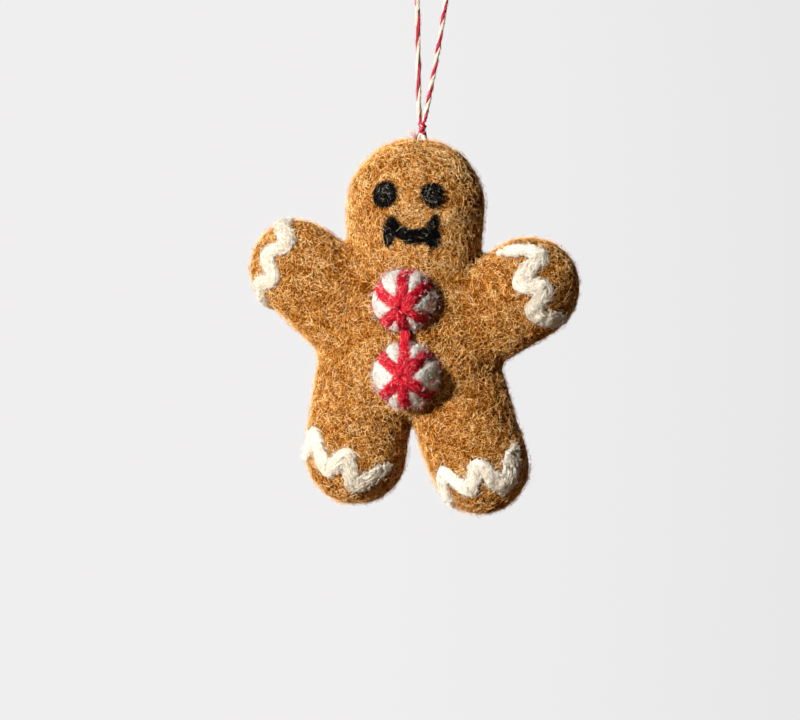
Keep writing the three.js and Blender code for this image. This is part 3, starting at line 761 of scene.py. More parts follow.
def dress_ends():
    for seed, (side, (route, turn)) in enumerate(TWINE_ENDS.items()):
        line = smooth_route(np.array(route) * MM, TWINE_STEP)
        turns = turn - np.linspace(0, END_TURNS, len(line))
        end = twine_piece(f"twine_{side}_strand", line, turns, 6 + seed, size=END_SIZE)
        worn(end, "twine_ends", "twine", f"twine_{side}_end")
    line = smooth_route(np.array(BIGHT_ROUTE) * MM, TWINE_STEP)
    bight = twine_piece("twine_bight", line, np.linspace(0, BIGHT_TURNS, len(line)), 8)
    worn(bight, "figure", "twine", "twine_stitch")


# The frayed end stands out of the crown beside the left strand.
TAIL_ROOT = np.array([-1.35, -0.2, -80.9]) * MM
TAIL_LEAN = np.array([-0.75, 0, 3.1]) * MM
# Its fibres fan out by about this much, start this far from its root and curl.
TAIL_SPREAD = np.array([0.75, 0.5, 0.3])
TAIL_THICKNESS = 0.13 * MM
TAIL_CURL = 0.35 * MM
TAIL_FIBRES = 70
TAIL_POINTS = 6
TAIL_LENGTH_SHARES = (0.45, 1.05)
# The fibres fan out more and more towards their ends: the power of the way along them.
TAIL_FAN_POWER = 1.6
TAIL_TONES = (0.7, 0.25)
TAIL_HALF_WIDTHS = (0.02 * MM, 0.042 * MM)
WHITE_TAIL_SHARE = 0.6


def dress_tail():
    rng = np.random.default_rng(9)
    way = np.linspace(0, 1, TAIL_POINTS)[None, :, None]
    spread = rng.normal(0, 1, (TAIL_FIBRES, 1, 3)) * TAIL_SPREAD * MM
    lean = TAIL_LEAN * rng.uniform(*TAIL_LENGTH_SHARES, (TAIL_FIBRES, 1, 1))
    root = TAIL_ROOT + rng.normal(0, TAIL_THICKNESS, (TAIL_FIBRES, 1, 3))
    curl = rng.normal(0, TAIL_CURL, (TAIL_FIBRES, 1, 3)) * np.sin(np.pi * way)
    lines = root + lean * way + spread * way**TAIL_FAN_POWER + curl
    widths = rng.uniform(*TAIL_HALF_WIDTHS, TAIL_FIBRES)
    tones = spread_of_tones(rng, *TAIL_TONES, TAIL_FIBRES)
    white = rng.random(TAIL_FIBRES) < WHITE_TAIL_SHARE
    tuft = joined("frayed_tail", [
        fibres("frayed_tail", lines[white], widths[white], tones[white], white_fuzz),
        fibres("frayed_red", lines[~white], widths[~white], tones[~white], red_fuzz),
    ])
    worn(tuft, "figure", "twine", "twine_tail")


dress_loop()
dress_knot()
dress_ends()
dress_tail()


# The lamps, the room and the stage.
FIGURE_MIDDLE = Vector((-2 * MM, 0, -132 * MM))


def make_lamp(name, azimuth, elevation, far, size, power, tint):
    """A square lamp that faces the figure."""
    turn, rise = math.radians(azimuth), math.radians(elevation)
    away = Vector((
        math.sin(turn) * math.cos(rise),
        -math.cos(turn) * math.cos(rise),
        math.sin(rise),
    ))
    light = bpy.data.lights.new(name, "AREA")
    light.size, light.energy, light.color = size, power, tint
    lamp = bpy.data.objects.new(name, light)
    lamp.location = FIGURE_MIDDLE + away * far
    lamp.rotation_euler = (-away).to_track_quat("-Z", "Y").to_euler()
    bpy.context.scene.collection.objects.link(lamp)


# Each lamp's azimuth and elevation in degrees, how far off it is and its size in metres,
# its power in watts and its tint.
LAMPS = {
    "key_lamp": (-40, 16, 1.5, 0.14, 72, (1.0, 0.965, 0.91)),
    "fill_lamp": (35, 10, 1.6, 0.9, 0.3, (1.0, 0.82, 0.62)),
    "back_lamp": (171, 28, 1.6, 0.7, 15, (1.0, 0.9, 0.76)),
}
for lamp_name, settings in LAMPS.items():
    make_lamp(lamp_name, *settings)

# The room gives a little warm light. The camera sees it as pale grey.
WORLD_STRENGTH = 0.025
WORLD_TINT = (1.0, 0.66, 0.4, 1.0)
WORLD_SEEN = paint(236, 236, 236)


def make_world():
    world = bpy.data.worlds.new("studio")
    bpy.context.scene.world = world
    world.use_nodes = True
    room = Nodes(world.node_tree, "Background")
    room.feed("Color", WORLD_TINT)
    room.feed("Strength", WORLD_STRENGTH)
    seen = room.node("ShaderNodeBackground", None, {"Color": WORLD_SEEN})
    dim = Amount(room, room.shader.outputs[0])
    surface = room.either(room.seen_by_camera(), dim, seen)
    room.feed("Surface", surface, world.node_tree.nodes["World Output"])


make_world()

# The paper of the stage sends warm light back onto the wool. GLOW_SHARE of what the camera sees of
# it is a pale painted glow, with painted light that is paler on the left and darker to the right,
# and the rest shows its shadows.
PAPER = paint(128, 108, 88)
BACKGROUND_LEFT = paint(254, 254, 255)
BACKGROUND_RIGHT = paint(241, 242, 244)
BACKGROUND_WIDTH = 1 / 1.9
GLOW_SHARE = 0.85
FLOOR_DROP = 0.45
STAGE_HALF = 1.7
STAGE_RISE = 1.5


def make_stage():
    """A floor of paper with a backdrop that stands behind the ornament."""
    bpy.ops.object.select_all(action="DESELECT")
    bpy.ops.mesh.primitive_plane_add(size=2 * STAGE_HALF, location=(0, 0, -FLOOR_DROP))
    stage = bpy.context.object
    stage.name = "stage"
    bpy.ops.object.mode_set(mode="EDIT")
    bpy.ops.mesh.select_all(action="DESELECT")
    bpy.ops.object.mode_set(mode="OBJECT")
    for edge in stage.data.edges:
        ends = [stage.data.vertices[i].co.y for i in edge.vertices]
        edge.select = min(ends) > 0
    bpy.ops.object.mode_set(mode="EDIT")
    bpy.ops.mesh.select_mode(type="EDGE")
    bpy.ops.mesh.extrude_region_move(TRANSFORM_OT_translate={"value": (0, 0, STAGE_RISE)})
    bpy.ops.object.mode_set(mode="OBJECT")
    bpy.ops.object.transform_apply(location=True, rotation=True, scale=True)
    finish = Finish("stage_paper", roughness=0.9)
    finish.feed("Base Color", PAPER)
    across = finish.node("ShaderNodeSeparateXYZ", None, {0: finish.places()}, output=0)
    # Painted light on the backdrop: paler on the left and darker to the right.
    shade = finish.mix(across * (1 / BACKGROUND_WIDTH) + 0.5, BACKGROUND_LEFT, BACKGROUND_RIGHT)
    glow = finish.node("ShaderNodeEmission", None, {"Color": shade})
    paper = Amount(finish, finish.shader.outputs[0])
    surface = finish.either(finish.seen_by_camera() * GLOW_SHARE, paper, glow)
    finish.feed("Surface", surface, finish.tree.nodes["Material Output"])
    stage.data.materials.append(finish.material)


make_stage()


# The felted body.
BODY_NODES = ["torso", "head", "left_arm", "right_arm", "left_leg", "right_leg"]
# The forms grow this much to close the gaps between them, then the creases are filled.
JOIN_GROWTH = 0.35 * MM
FILLET = 0.25 * MM
# The loose wool on the skin is about this thick.
WOOL_COVER = 0.25 * MM
FINE_GRID = 0.6 * MM
MERGED_WITHIN = 0.01 * MM
# The wool is packed unevenly: the width of its lumps and how deep they go.
LUMPS = [(9 * MM, 0.8 * MM), (2.4 * MM, 0.4 * MM)]


def with_modifier(piece, kind, **settings):
    """Adds a modifier with these settings and applies it."""
    selected(piece)
    made = piece.modifiers.new(kind.lower(), kind)
    for name, value in settings.items():
        setattr(made, name, value)
    bpy.ops.object.modifier_apply(modifier=made.name)


def remeshed(piece):
    """One closed skin over all the forms of a piece."""
    with_modifier(piece, "REMESH", mode="VOXEL", voxel_size=FINE_GRID, use_smooth_shade=True)
    largest_part(piece)


def smoothed(piece, times):
    with_modifier(piece, "SMOOTH", factor=0.5, iterations=times)


def grown(piece, by):
    with_modifier(piece, "DISPLACE", strength=by, mid_level=0.0, direction="NORMAL")


def lumpy(piece, size, depth):
    clouds = bpy.data.textures.new("lumps", "CLOUDS")
    clouds.noise_scale = size
    settings = {"texture": clouds, "texture_coords": "LOCAL", "mid_level": 0.5}
    with_modifier(piece, "DISPLACE", strength=depth, **settings)


def largest_part(piece):
    """Removes all but the largest connected part of a mesh."""
    selected(piece)
    bpy.ops.object.mode_set(mode="EDIT")
    bpy.ops.mesh.select_mode(type="VERT")
    bpy.ops.mesh.select_all(action="DESELECT")
    bpy.ops.object.mode_set(mode="OBJECT")
    heights = [v.co.z for v in piece.data.vertices]
    piece.data.vertices[int(np.argmax(heights))].select = True
    bpy.ops.object.mode_set(mode="EDIT")
    bpy.ops.mesh.select_linked()
    bpy.ops.mesh.select_all(action="INVERT")
    bpy.ops.mesh.delete(type="VERT")
    bpy.ops.object.mode_set(mode="OBJECT")


def copied(node, name):
    """A merged copy of a CAD node's mesh."""
    piece = bpy.data.objects.new(name, frame["nodes"][node].data.copy())
    bpy.context.scene.collection.objects.link(piece)
    piece.data.materials.clear()
    selected(piece)
    bpy.ops.object.mode_set(mode="EDIT")
    bpy.ops.mesh.select_all(action="SELECT")
    bpy.ops.mesh.remove_doubles(threshold=MERGED_WITHIN)
    bpy.ops.object.mode_set(mode="OBJECT")
    return piece


# Where the outline's creases are drawn in: the place in the front view, the way that the
# wool moves there, right and up, and how far round it others follow, in millimetres.
CREASES = {
    "left_neck": ((-20.8, -107.2), (0.3, -1.5), 4.5),
    "right_neck": ((17.6, -109.0), (-1.1, -2.5), 6.5),
    "crotch": ((-2.5, -161.9), (0.4, 3.9), 4.2),
    "right_hand_top": ((31.0, -106.0), (0.0, -1.0), 9.0),
}


def creased(piece):
    mesh = piece.data
    points = read_points(mesh, "co")
    for (x, z), (right, up), reach in CREASES.values():
        far = np.hypot(points[:, 0] / MM - x, points[:, 2] / MM - z)
        follow = np.exp(-((far / reach) ** 2))[:, None]
        points += follow * np.array([right, 0, up], np.float32) * MM
    mesh.vertices.foreach_set("co", points.ravel())
    mesh.update()


def felt_body():
    """The six felted forms as one skin, with the creases between them filled a little."""
    parts = [copied(node, node + "_form") for node in BODY_NODES]
    for part in parts:
        grown(part, JOIN_GROWTH)
    body = joined("felt_body", parts)
    remeshed(body)
    smoothed(body, times=2)
    grown(body, FILLET)
    remeshed(body)
    grown(body, -FILLET - JOIN_GROWTH - WOOL_COVER)
    remeshed(body)
    smoothed(body, times=3)
    creased(body)
    for size, depth in LUMPS:
        lumpy(body, size, depth)
    body.data.materials.append(brown_felt)
    return body


# Its dark tones are painted shade in the gaps between the loose fibres.
brown_felt = felt_finish(
    "gingerbread_felt", PAINTED_SHADE_GROUND_TONES, fibre_width=0.22 * MM, depth=0.25 * MM
)
brown_wool = fibre_finish("gingerbread_fibre", WOOL_TONES), "wool"
pale_hair = fibre_finish("stray_hair", HAIR_TONES, roughness=0.5), "wool"

body = worn(felt_body(), "figure", "wool", *BODY_NODES)
skin = Surface(body)


def loose_wool(name, lines, half_widths, tones, wool, seed):
    """A piece of loose fibres on the figure. wool is their finish, paired with the name of a colour
    slot.
    """
    finish, slot = wool
    widths = np.random.default_rng(seed).uniform(*half_widths, len(lines))
    worn(fibres(name, lines, widths, tones, finish), "figure", slot)


# Strands of wool laid on the felt. A strand's width and rise vary by these shares, over
# about these lengths, and its blunt ends keep this share of its width.
UNEVEN_WIDTH_SHARE, WIDTH_VARIES_OVER = 0.1, 3.1 * MM
UNEVEN_RISE_SHARE, RISE_VARIES_OVER = 0.14, 2.3 * MM
UNEVEN_WAVES = 4
UNEVEN_WAVELENGTH_SHARES = (0.7, 2.2)
BLUNT_END_SHARE = 0.35
SHARPEST_END = 0.03
# Its packed middle has ridges along it, in two windings.
STRAND_SIDES = 16
RIDGE_SHARES = (0.035, 0.0245)
RIDGES_ROUND = (5, 8)
RIDGE_PITCHES = (2 * MM, 3 * MM)
# Over 1 the packed middle has slopes rather than upright sides.
SLOPE_POWER = 1.3
# The loose wool on each kind of strand: its lengths and lifts in millimetres, the share of
# wisps that stray from it, and how far the fibres slip round it.
STRAND_WOOL_PER_MM2 = 8.0
STRAND_WOOL_POINTS = 5
STRAND_WOOL = {
    "icing": ((2.0, 5.0), (0.02, 0.35), 0.35, 0.8),
    "mouth": ((0.8, 2.2), (0.02, 0.3), 0.2, 1.2),
    "ray": ((1.5, 4.0), (0.02, 0.3), 0.25, 1.0),
    "link": ((1.8, 4.0), (0.02, 0.2), 0.08, 0.35),
}
# Where the fibres start is drawn from these shares of the strand and cut off at its ends,
# so that more start there. They lie round it this far past its sides, in radians.
WOOL_START_SHARES = (-0.12, 1.12)
WOOL_START_JITTER = 0.25 * MM
WOOL_PAST_SIDES = 0.15
WISP_REACH = 1.2 * MM
WISP_DROP = 0.25 * MM
# Some of a strand's wool lies across its edges: how many times EDGE_WOOL_PER_MM it is, the
# lengths and lifts of its fibres, and how far past the strand's ends they go, in
# millimetres. END_WOOL_SHARE of them lie over the ends.
EDGE_WOOL_PER_MM = 13.0
EDGE_WOOL = {
    "icing": (1.5, (0.8, 2.4), (0.7, 1.3), 1.8),
    "mouth": (1.5, (0.7, 1.9), (0.65, 1.15), 0.8),
    "ray": (1.0, (0.8, 2.2), (0.1, 0.55), 1.0),
}
END_WOOL_SHARE = 0.25
EDGE_REACH_SHARES = (0.7, 1.15)
EDGE_BOW = 1.0
# Fine loose fibres are this thick from middle to side.
FINE_HALF_WIDTHS = (0.024 * MM, 0.048 * MM)
LINE_STEP = 0.35 * MM
ROUTE_STEP_SHARE = 0.02
# A cut corner is a curve with this many points. It takes at most this share of the way to
# the next corner.
CORNER_POINTS = 7
MOST_CUT_SHARE = 0.48
# The way out along a laid strand is evened out this many times.
OUT_EVENED_TIMES = 3


def in_metres(span):
    return [value * MM for value in span]


def rounded(points, cut, step):
    """A line through corner points with its corners cut round, in even steps."""
    points = np.asarray(points, float)
    line = [points[0]]
    for before, corner, after in zip(points[:-2], points[1:-1], points[2:]):
        back, ahead = before - corner, after - corner
        start = corner + back * min(MOST_CUT_SHARE, cut / np.linalg.norm(back))
        end = corner + ahead * min(MOST_CUT_SHARE, cut / np.linalg.norm(ahead))
        for share in np.linspace(0, 1, CORNER_POINTS):
            rest = 1 - share
            line.append(rest**2 * start + 2 * share * rest * corner + share**2 * end)
    line.append(points[-1])
    return evenly(np.array(line), step)


class Strand:
    """A strand of loose wool along a line. out is the way out of what it lies on, at each point."""

    def __init__(self, line, out, half_widths, rise, seed, sunk=0.35 * MM, taper=1.6 * MM):
        self.rng = np.random.default_rng(seed)
        self.line, self.sunk = line, sunk
        self.ahead = unit(np.gradient(line, axis=0))
        self.side = unit(np.cross(out, self.ahead))
        self.out = np.cross(self.ahead, self.side)
        self.along = lengths_along(line)
        share = self.along / self.along[-1]
        ends = np.minimum(self.along, self.along[-1] - self.along) / taper
        blunt = np.sqrt(np.clip(ends, SHARPEST_END, 1))
        half = np.interp(share, np.linspace(0, 1, len(half_widths)), half_widths)
        ends = BLUNT_END_SHARE + (1 - BLUNT_END_SHARE) * blunt
        self.half = half * (1 + UNEVEN_WIDTH_SHARE * self.uneven(WIDTH_VARIES_OVER)) * ends
        self.rise = rise * (1 + UNEVEN_RISE_SHARE * self.uneven(RISE_VARIES_OVER)) * blunt

    def uneven(self, wavelength):
        total = np.zeros(len(self.line))
        for _ in range(UNEVEN_WAVES):
            pace = 2 * np.pi / (wavelength * self.rng.uniform(*UNEVEN_WAVELENGTH_SHARES))
            total += np.sin(self.along * pace + self.rng.uniform(0, ANY_TURN)) / 2
        return total

    def body(self, name, finish):
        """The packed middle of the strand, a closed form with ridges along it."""
        turn = np.arange(STRAND_SIDES) * 2 * np.pi / STRAND_SIDES
        run = self.along[:, None]
        lay = 1 + RIDGE_SHARES[0] * np.sin(RIDGES_ROUND[0] * turn + run / RIDGE_PITCHES[0])
        lay += RIDGE_SHARES[1] * np.sin(RIDGES_ROUND[1] * turn - run / RIDGE_PITCHES[1] + 1.0)
        across = np.cos(turn) * self.half[:, None] * lay
        rounded_over = np.sign(np.sin(turn)) * np.abs(np.sin(turn)) ** SLOPE_POWER
        high = np.where(np.sin(turn) > 0, self.rise[:, None], self.sunk) * rounded_over * lay
        rings = (
            self.line[:, None]
            - across[..., None] * self.side[:, None]
            + high[..., None] * self.out[:, None]
        )
        return tube_piece(name, rings, self.line[0], self.line[-1], finish)

    def wool(self, kind):
        """Lines of fibres that follow the strand, some of them straying to the side."""
        lengths, lift, wisps, slip = STRAND_WOOL[kind]
        full = self.along[-1]
        width = 2 * self.half.mean() + 2 * self.rise.mean()
        count = int(full * width / MM**2 * STRAND_WOOL_PER_MM2)
        size = np.minimum(self.rng.uniform(*in_metres(lengths), (count, 1)), LONGEST_SHARE * full)
        shares = np.clip(self.rng.uniform(*WOOL_START_SHARES, (count, 1)), 0, 1)
        start = shares * (full - size)
        start += self.rng.uniform(-WOOL_START_JITTER, WOOL_START_JITTER, (count, 1))
        way = np.linspace(0, 1, STRAND_WOOL_POINTS)[None]
        at = start + size * way
        spare = at - np.clip(at, 0, full)
        angle = self.rng.uniform(-WOOL_PAST_SIDES, np.pi + WOOL_PAST_SIDES, (count, 1))
        angle = angle + self.rng.normal(0, slip, (count, 1)) * (way - 0.5)
        stray = (self.rng.random((count, 1)) < wisps) * self.rng.normal(0, 1, (count, 1))
        half = np.interp(at, self.along, self.half)
        rise = np.interp(at, self.along, self.rise)
        lifted = self.rng.uniform(*in_metres(lift), (count, STRAND_WOOL_POINTS))
        lifted[:, 0] = lifted[:, -1] = -TUCKED
        across = np.cos(angle) * (half + lifted) + stray * way**2 * WISP_REACH
        high = np.sin(angle) * (rise + lifted) - np.abs(stray) * way**2 * WISP_DROP
        return (
            read_along(self.line, self.along, at)
            + across[..., None] * read_along(self.side, self.along, at)
            + high[..., None] * read_along(self.out, self.along, at)
            + spare[..., None] * read_along(self.ahead, self.along, at)
        )


def edge_wool(surface, strand, kind):
    """Lines of short curly fibres that lie across both edges of a strand and past its ends."""
    times, lengths, lift, past = EDGE_WOOL[kind]
    past *= MM
    full = strand.along[-1]
    count = int(full / MM * (times * EDGE_WOOL_PER_MM) / (1 - END_WOOL_SHARE))
    at = strand.rng.uniform(-past, full + past, count)
    ends = strand.rng.choice([0.0, full], count) + strand.rng.uniform(-past, past, count)
    at = np.where(strand.rng.random(count) < END_WOOL_SHARE, ends, at)
    spare = at - np.clip(at, 0, full)
    half = np.interp(at, strand.along, strand.half)
    reach = strand.rng.choice([-1, 1], count) * strand.rng.uniform(*EDGE_REACH_SHARES, count) * half
    reach = np.where(spare == 0, reach, EDGE_REACH_SHARES[0] * reach)
    spots = (
        read_along(strand.line, strand.along, at)
        + reach[:, None] * read_along(strand.side, strand.along, at)
        + spare[:, None] * read_along(strand.ahead, strand.along, at)
    )
    spots, out = surface.nearest(spots)
    lifts = strand.rng.uniform(*in_metres(lift), count)
    return lying(surface, spots, out, strand.rng, in_metres(lengths), lifts, EDGE_BOW)


def wool_over(surface, strand, kind):
    """All the loose wool of a strand that lies on a surface."""
    return np.concatenate([strand.wool(kind), edge_wool(surface, strand, kind)])


def laid(surface, line, half_widths, rise, seed, **settings):
    """A strand that lies on a surface along a line."""
    line, out = surface.nearest(line)
    for _ in range(OUT_EVENED_TIMES):
        out[1:-1] = unit(out[:-2] + 2 * out[1:-1] + out[2:])
    return Strand(line, out, half_widths, rise, seed, **settings)


# Each iced limb's CAD node, its direction in degrees from +X towards +Z, and the radius and
# half depth of its round end in millimetres.
ICED_LIMBS = {
    "left_hand": ("left_arm", 146.6, 13.1, 11.5),
    "right_hand": ("right_arm", 29.5, 14.6, 11.8),
    "left_foot": ("left_leg", 264.9, 13.9, 12.4),
    "right_foot": ("right_leg", 291.7, 13.45, 12.4),
}
# Places are shares of the end's radius from its middle: back towards the torso, then
# across. More than 1 from the middle goes round the edge to the back.
ICING_ROUTES_SHARE = {
    "left_hand": [
        (-0.8, 0.72), (-0.72, 0.61), (-0.3, 0.34), (-0.66, -0.09),
        (-0.15, -0.4), (-0.46, -0.71), (-0.27, -0.92), (-0.1, -1.02),
    ],
    "right_hand": [
        (0.0, -0.75), (-0.18, -0.69), (-0.42, -0.57), (-0.6, -0.35), (0.07, -0.06),
        (-0.4, 0.24), (0.1, 0.5), (-0.08, 0.75), (-0.3, 0.88),
    ],
    "left_foot": [
        (-0.1, 0.94), (0.37, 0.8), (-0.4, 0.47), (0.02, 0.07),
        (-0.67, -0.12), (-0.44, -0.39), (-0.24, -0.66),
    ],
    "right_foot": [
        (-0.47, 0.83), (-0.11, 0.82), (0.14, 0.68), (-0.47, 0.3), (0.04, -0.06),
        (-0.64, -0.36), (-0.39, -0.61), (-0.02, -0.8),
    ],
}
# Each strand's half widths from its start to its end in millimetres, and how pale its wool is.
# The strands on the right hand and foot are paler than those on the lit left: painted light on the
# side away from the key lamp.
ICING_WOOL = {
    "left_hand": ([1.8, 1.8, 1.55, 1.65, 1.5], 0.5),
    "right_hand": ([1.5, 1.75, 1.75, 1.75, 1.6], 0.72),
    "left_foot": ([2.0, 1.9, 1.65, 1.7, 1.5], 0.55),
    "right_foot": ([1.4, 1.5, 1.45, 1.55, 2.2, 2.4], 0.82),
}
ICING_RISE = 0.9 * MM
ICING_TAPER = 3.2 * MM
ICING_TONE_SPREAD = 0.25
ICING_CLEAR_SHARE = 0.8
THICK_HALF_WIDTHS = (0.03 * MM, 0.058 * MM)
CORNER_CUT_SHARE = 0.07


def on_limb_end(limb, degrees, radius, depth, shares):
    """Points on a limb's round end for places in shares of its radius."""
    turn = math.radians(degrees)
    ahead = np.array([math.cos(turn), 0, math.sin(turn)])
    low, high = (np.array(corner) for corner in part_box(limb))
    middle = np.where(ahead > 0, high - radius, low + radius)
    middle[1] = (low[1] + high[1]) / 2
    back, across = -ahead, np.array([ahead[2], 0, -ahead[0]])
    away = np.linalg.norm(shares, axis=1)
    behind = away > 1
    flat = shares * np.where(behind, (2 - away) / np.maximum(away, 1), 1.0)[:, None]
    deep = np.sqrt(np.clip(1 - (flat**2).sum(1), 0, 1)) * np.where(behind, 1, -1)
    points = middle + radius * (flat[:, :1] * back + flat[:, 1:] * across)
    points[:, 1] += depth * deep
    return points


cream_felt = felt_finish("icing_felt", CREAM_TONES, fibre_width=0.16 * MM, depth=0.12 * MM)
cream_wool = fibre_finish("icing_fibre", CREAM_TONES, roughness=0.55), "icing_wool"


def dress_icing():
    for seed, (name, route) in enumerate(ICING_ROUTES_SHARE.items()):
        limb, degrees, radius, depth = ICED_LIMBS[name]
        shares = rounded(route, CORNER_CUT_SHARE, ROUTE_STEP_SHARE)
        line = evenly(on_limb_end(limb, degrees, radius * MM, depth * MM, shares), LINE_STEP)
        half_widths, paleness = ICING_WOOL[name]
        half_widths = np.array(half_widths) * MM
        strand = laid(skin, line, half_widths, ICING_RISE, 40 + seed, taper=ICING_TAPER)
        packed = strand.body(name + "_icing_strand", cream_felt)
        worn(packed, "figure", "icing_wool", name + "_icing")
        lines = wool_over(skin, strand, "icing")
        tones = spread_of_tones(strand.rng, paleness, ICING_TONE_SPREAD, len(lines))
        loose_wool(name + "_icing_fibres", lines, THICK_HALF_WIDTHS, tones, cream_wool, 60 + seed)
        keep_clear(strand.line, ICING_CLEAR_SHARE * half_widths.mean())


dress_icing()

# The eyes and the mouth. Places on the face are shares of the head's half width from the
# middle of its dome, to the right and up.
black_felt = felt_finish(
    "black_felt", BLACK_AND_GLINT_TONES[:2], fibre_width=0.16 * MM, depth=0.15 * MM
)
black_wool = fibre_finish("black_fibre", BLACK_AND_GLINT_TONES, roughness=0.7), "black_wool"
HEAD_LOW, HEAD_HIGH = (np.array(corner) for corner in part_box("head"))
HEAD_HALF_WIDTH = 19.1 * MM
HEAD_MIDDLE = (HEAD_LOW + HEAD_HIGH) / 2
HEAD_MIDDLE[2] = HEAD_HIGH[2] - HEAD_HALF_WIDTH
FACE_BEFORE = 30 * MM
# Each eye's middle and its radius.
EYES_SHARE = {"left_eye": (-0.36, 0.168, 0.163), "right_eye": (0.315, 0.152, 0.15)}
EYE_RISE = 0.95 * MM
EYE_SUNK = 0.5 * MM
EYE_EDGE_SUNK = 0.15 * MM
EYE_UNEVEN_SHARE = 0.045
EYE_WAVES_ROUND = (2, 3, 5, 7)
EYE_RINGS = 9
EYE_AROUND = 40
EYE_FIBRES = 2200
EYE_FIBRE_LENGTHS = (0.5 * MM, 1.5 * MM)
EYE_FIBRE_LIFTS = (0.05 * MM, 0.4 * MM)
EYE_FIBRE_BOW = 0.9
# The part of a pad that lies lower than this, against the face, has no fibres.
EYE_SHOWN_ABOVE = -0.1 * MM
EYE_CLEARANCE = 0.2 * MM
# The tones of the black wool are beta draws with these two numbers. Most of them are black, and the
# pale ones are painted glints.
EYE_TONE_DRAW = (0.6, 1.15)
FRINGE_TONE_DRAW = (0.8, 3.0)
MOUTH_TONE_DRAW = (0.6, 1.7)
FRINGE_FIBRES = 480
FRINGE_POINTS = 4
# Where a fibre of the fringe starts and how far it runs out, in shares of the eye's radius,
# and how far it turns aside, in radians.
FRINGE_START_SHARES = (0.7, 0.95)
FRINGE_RUN_SHARES = (0.15, 0.55)
FRINGE_TURN = 0.22
# It starts at this height over the face, drops by this share of it and is a little uneven.
FRINGE_LIFTS = (0.7 * MM, 1.0 * MM)
FRINGE_DROP_SHARE = 0.2
FRINGE_UNEVEN = 0.2 * MM
MOUTH_SHARE = {
    "mouth_left_stroke": (
        [(-0.26, -0.18), (-0.277, -0.3), (-0.317, -0.52)],
        [1.15, 1.7, 1.4, 0.8],
    ),
    "mouth_right_stroke": (
        [(0.337, -0.17), (0.316, -0.37), (0.325, -0.57)],
        [0.55, 1.35, 1.85, 1.35],
    ),
    "mouth_smile": (
        [(-0.265, -0.26), (-0.13, -0.378), (0.0, -0.442), (0.132, -0.445), (0.27, -0.38)],
        [1.3, 1.4, 1.6, 1.85, 1.8],
    ),
}
MOUTH_RISE = 0.75 * MM
MOUTH_TAPER = 0.9 * MM
MOUTH_CUT_SHARE = 0.17
# Loose wool of other pieces is kept out of this share of a strand's half width.
STRAND_CLEAR_SHARE = 0.75


def in_front(surface, flat):
    """The places on a surface straight behind these points of the front view, in x and z."""
    found = []
    for x, z in np.asarray(flat, float):
        place = surface.tree.ray_cast(Vector((x, -FACE_BEFORE, z)), Vector((0, 1, 0)))[0]
        found.append(tuple(place))
    return np.array(found)


def on_face(shares):
    return in_front(skin, np.asarray(shares, float) * HEAD_HALF_WIDTH + HEAD_MIDDLE[[0, 2]])


def eye_pad(name, middle, radius, seed):
    """A pad of wool with an uneven edge, closed underneath."""
    rng = np.random.default_rng(seed)
    turn = np.arange(EYE_AROUND) * 2 * np.pi / EYE_AROUND
    edge = np.ones(EYE_AROUND)
    for waves in EYE_WAVES_ROUND:
        uneven = rng.normal(0, EYE_UNEVEN_SHARE)
        wave = np.sin(waves * turn + rng.uniform(0, ANY_TURN))
        edge += uneven * wave
    shares = np.linspace(0, 1, EYE_RINGS + 1)[1:]
    flat = [middle[[0, 2]]]
    for share in shares:
        reach = radius * share * edge
        flat.extend(middle[[0, 2]] + reach[:, None] * np.stack([np.cos(turn), np.sin(turn)], 1))
    places, out = skin.nearest(in_front(skin, np.array(flat)))
    level = np.concatenate([[0], np.repeat(shares, EYE_AROUND)])
    at_edge = EYE_EDGE_SUNK * level**6
    top = places + out * (EYE_RISE * np.sqrt(1 - level**3) - at_edge)[:, None]
    low = places - out * (EYE_SUNK * (1 - level**4) + at_edge)[:, None]
    here = np.arange(EYE_AROUND)
    after = (here + 1) % EYE_AROUND
    disc = [np.stack([0 * here, 1 + here, 1 + after], 1)]
    for ring in range(EYE_RINGS - 1):
        inner, outer = 1 + ring * EYE_AROUND, 1 + (ring + 1) * EYE_AROUND
        disc.append(np.stack([inner + here, outer + here, outer + after], 1))
        disc.append(np.stack([inner + here, outer + after, inner + after], 1))
    disc = np.concatenate(disc)
    faces = np.concatenate([disc, disc[:, ::-1] + len(top)])
    piece = mesh_piece(name, np.concatenate([top, low]), faces, black_felt)
    selected(piece)
    bpy.ops.object.mode_set(mode="EDIT")
    bpy.ops.mesh.select_all(action="SELECT")
    bpy.ops.mesh.remove_doubles(threshold=MERGED_WITHIN)
    bpy.ops.mesh.normals_make_consistent(inside=False)
    bpy.ops.object.mode_set(mode="OBJECT")
    return piece


def fringe(middle, radius, rng):
    """Fibres that run out over an eye's edge onto the face."""
    each = (FRINGE_FIBRES, 1)
    way = np.linspace(0, 1, FRINGE_POINTS)[None]
    turn = rng.uniform(0, 2 * np.pi, each) + rng.normal(0, FRINGE_TURN, each) * way
    start = rng.uniform(*FRINGE_START_SHARES, each)
    reach = radius * (start + rng.uniform(*FRINGE_RUN_SHARES, each) * way)
    flat = np.stack([reach * np.cos(turn), 0 * reach, reach * np.sin(turn)], -1)
    places, out = skin.nearest(middle + flat)
    lift = rng.uniform(*FRINGE_LIFTS, each) * (1 - FRINGE_DROP_SHARE * way)
    lift = lift + rng.uniform(0, FRINGE_UNEVEN, (FRINGE_FIBRES, FRINGE_POINTS))
    return places + lift[..., None] * out


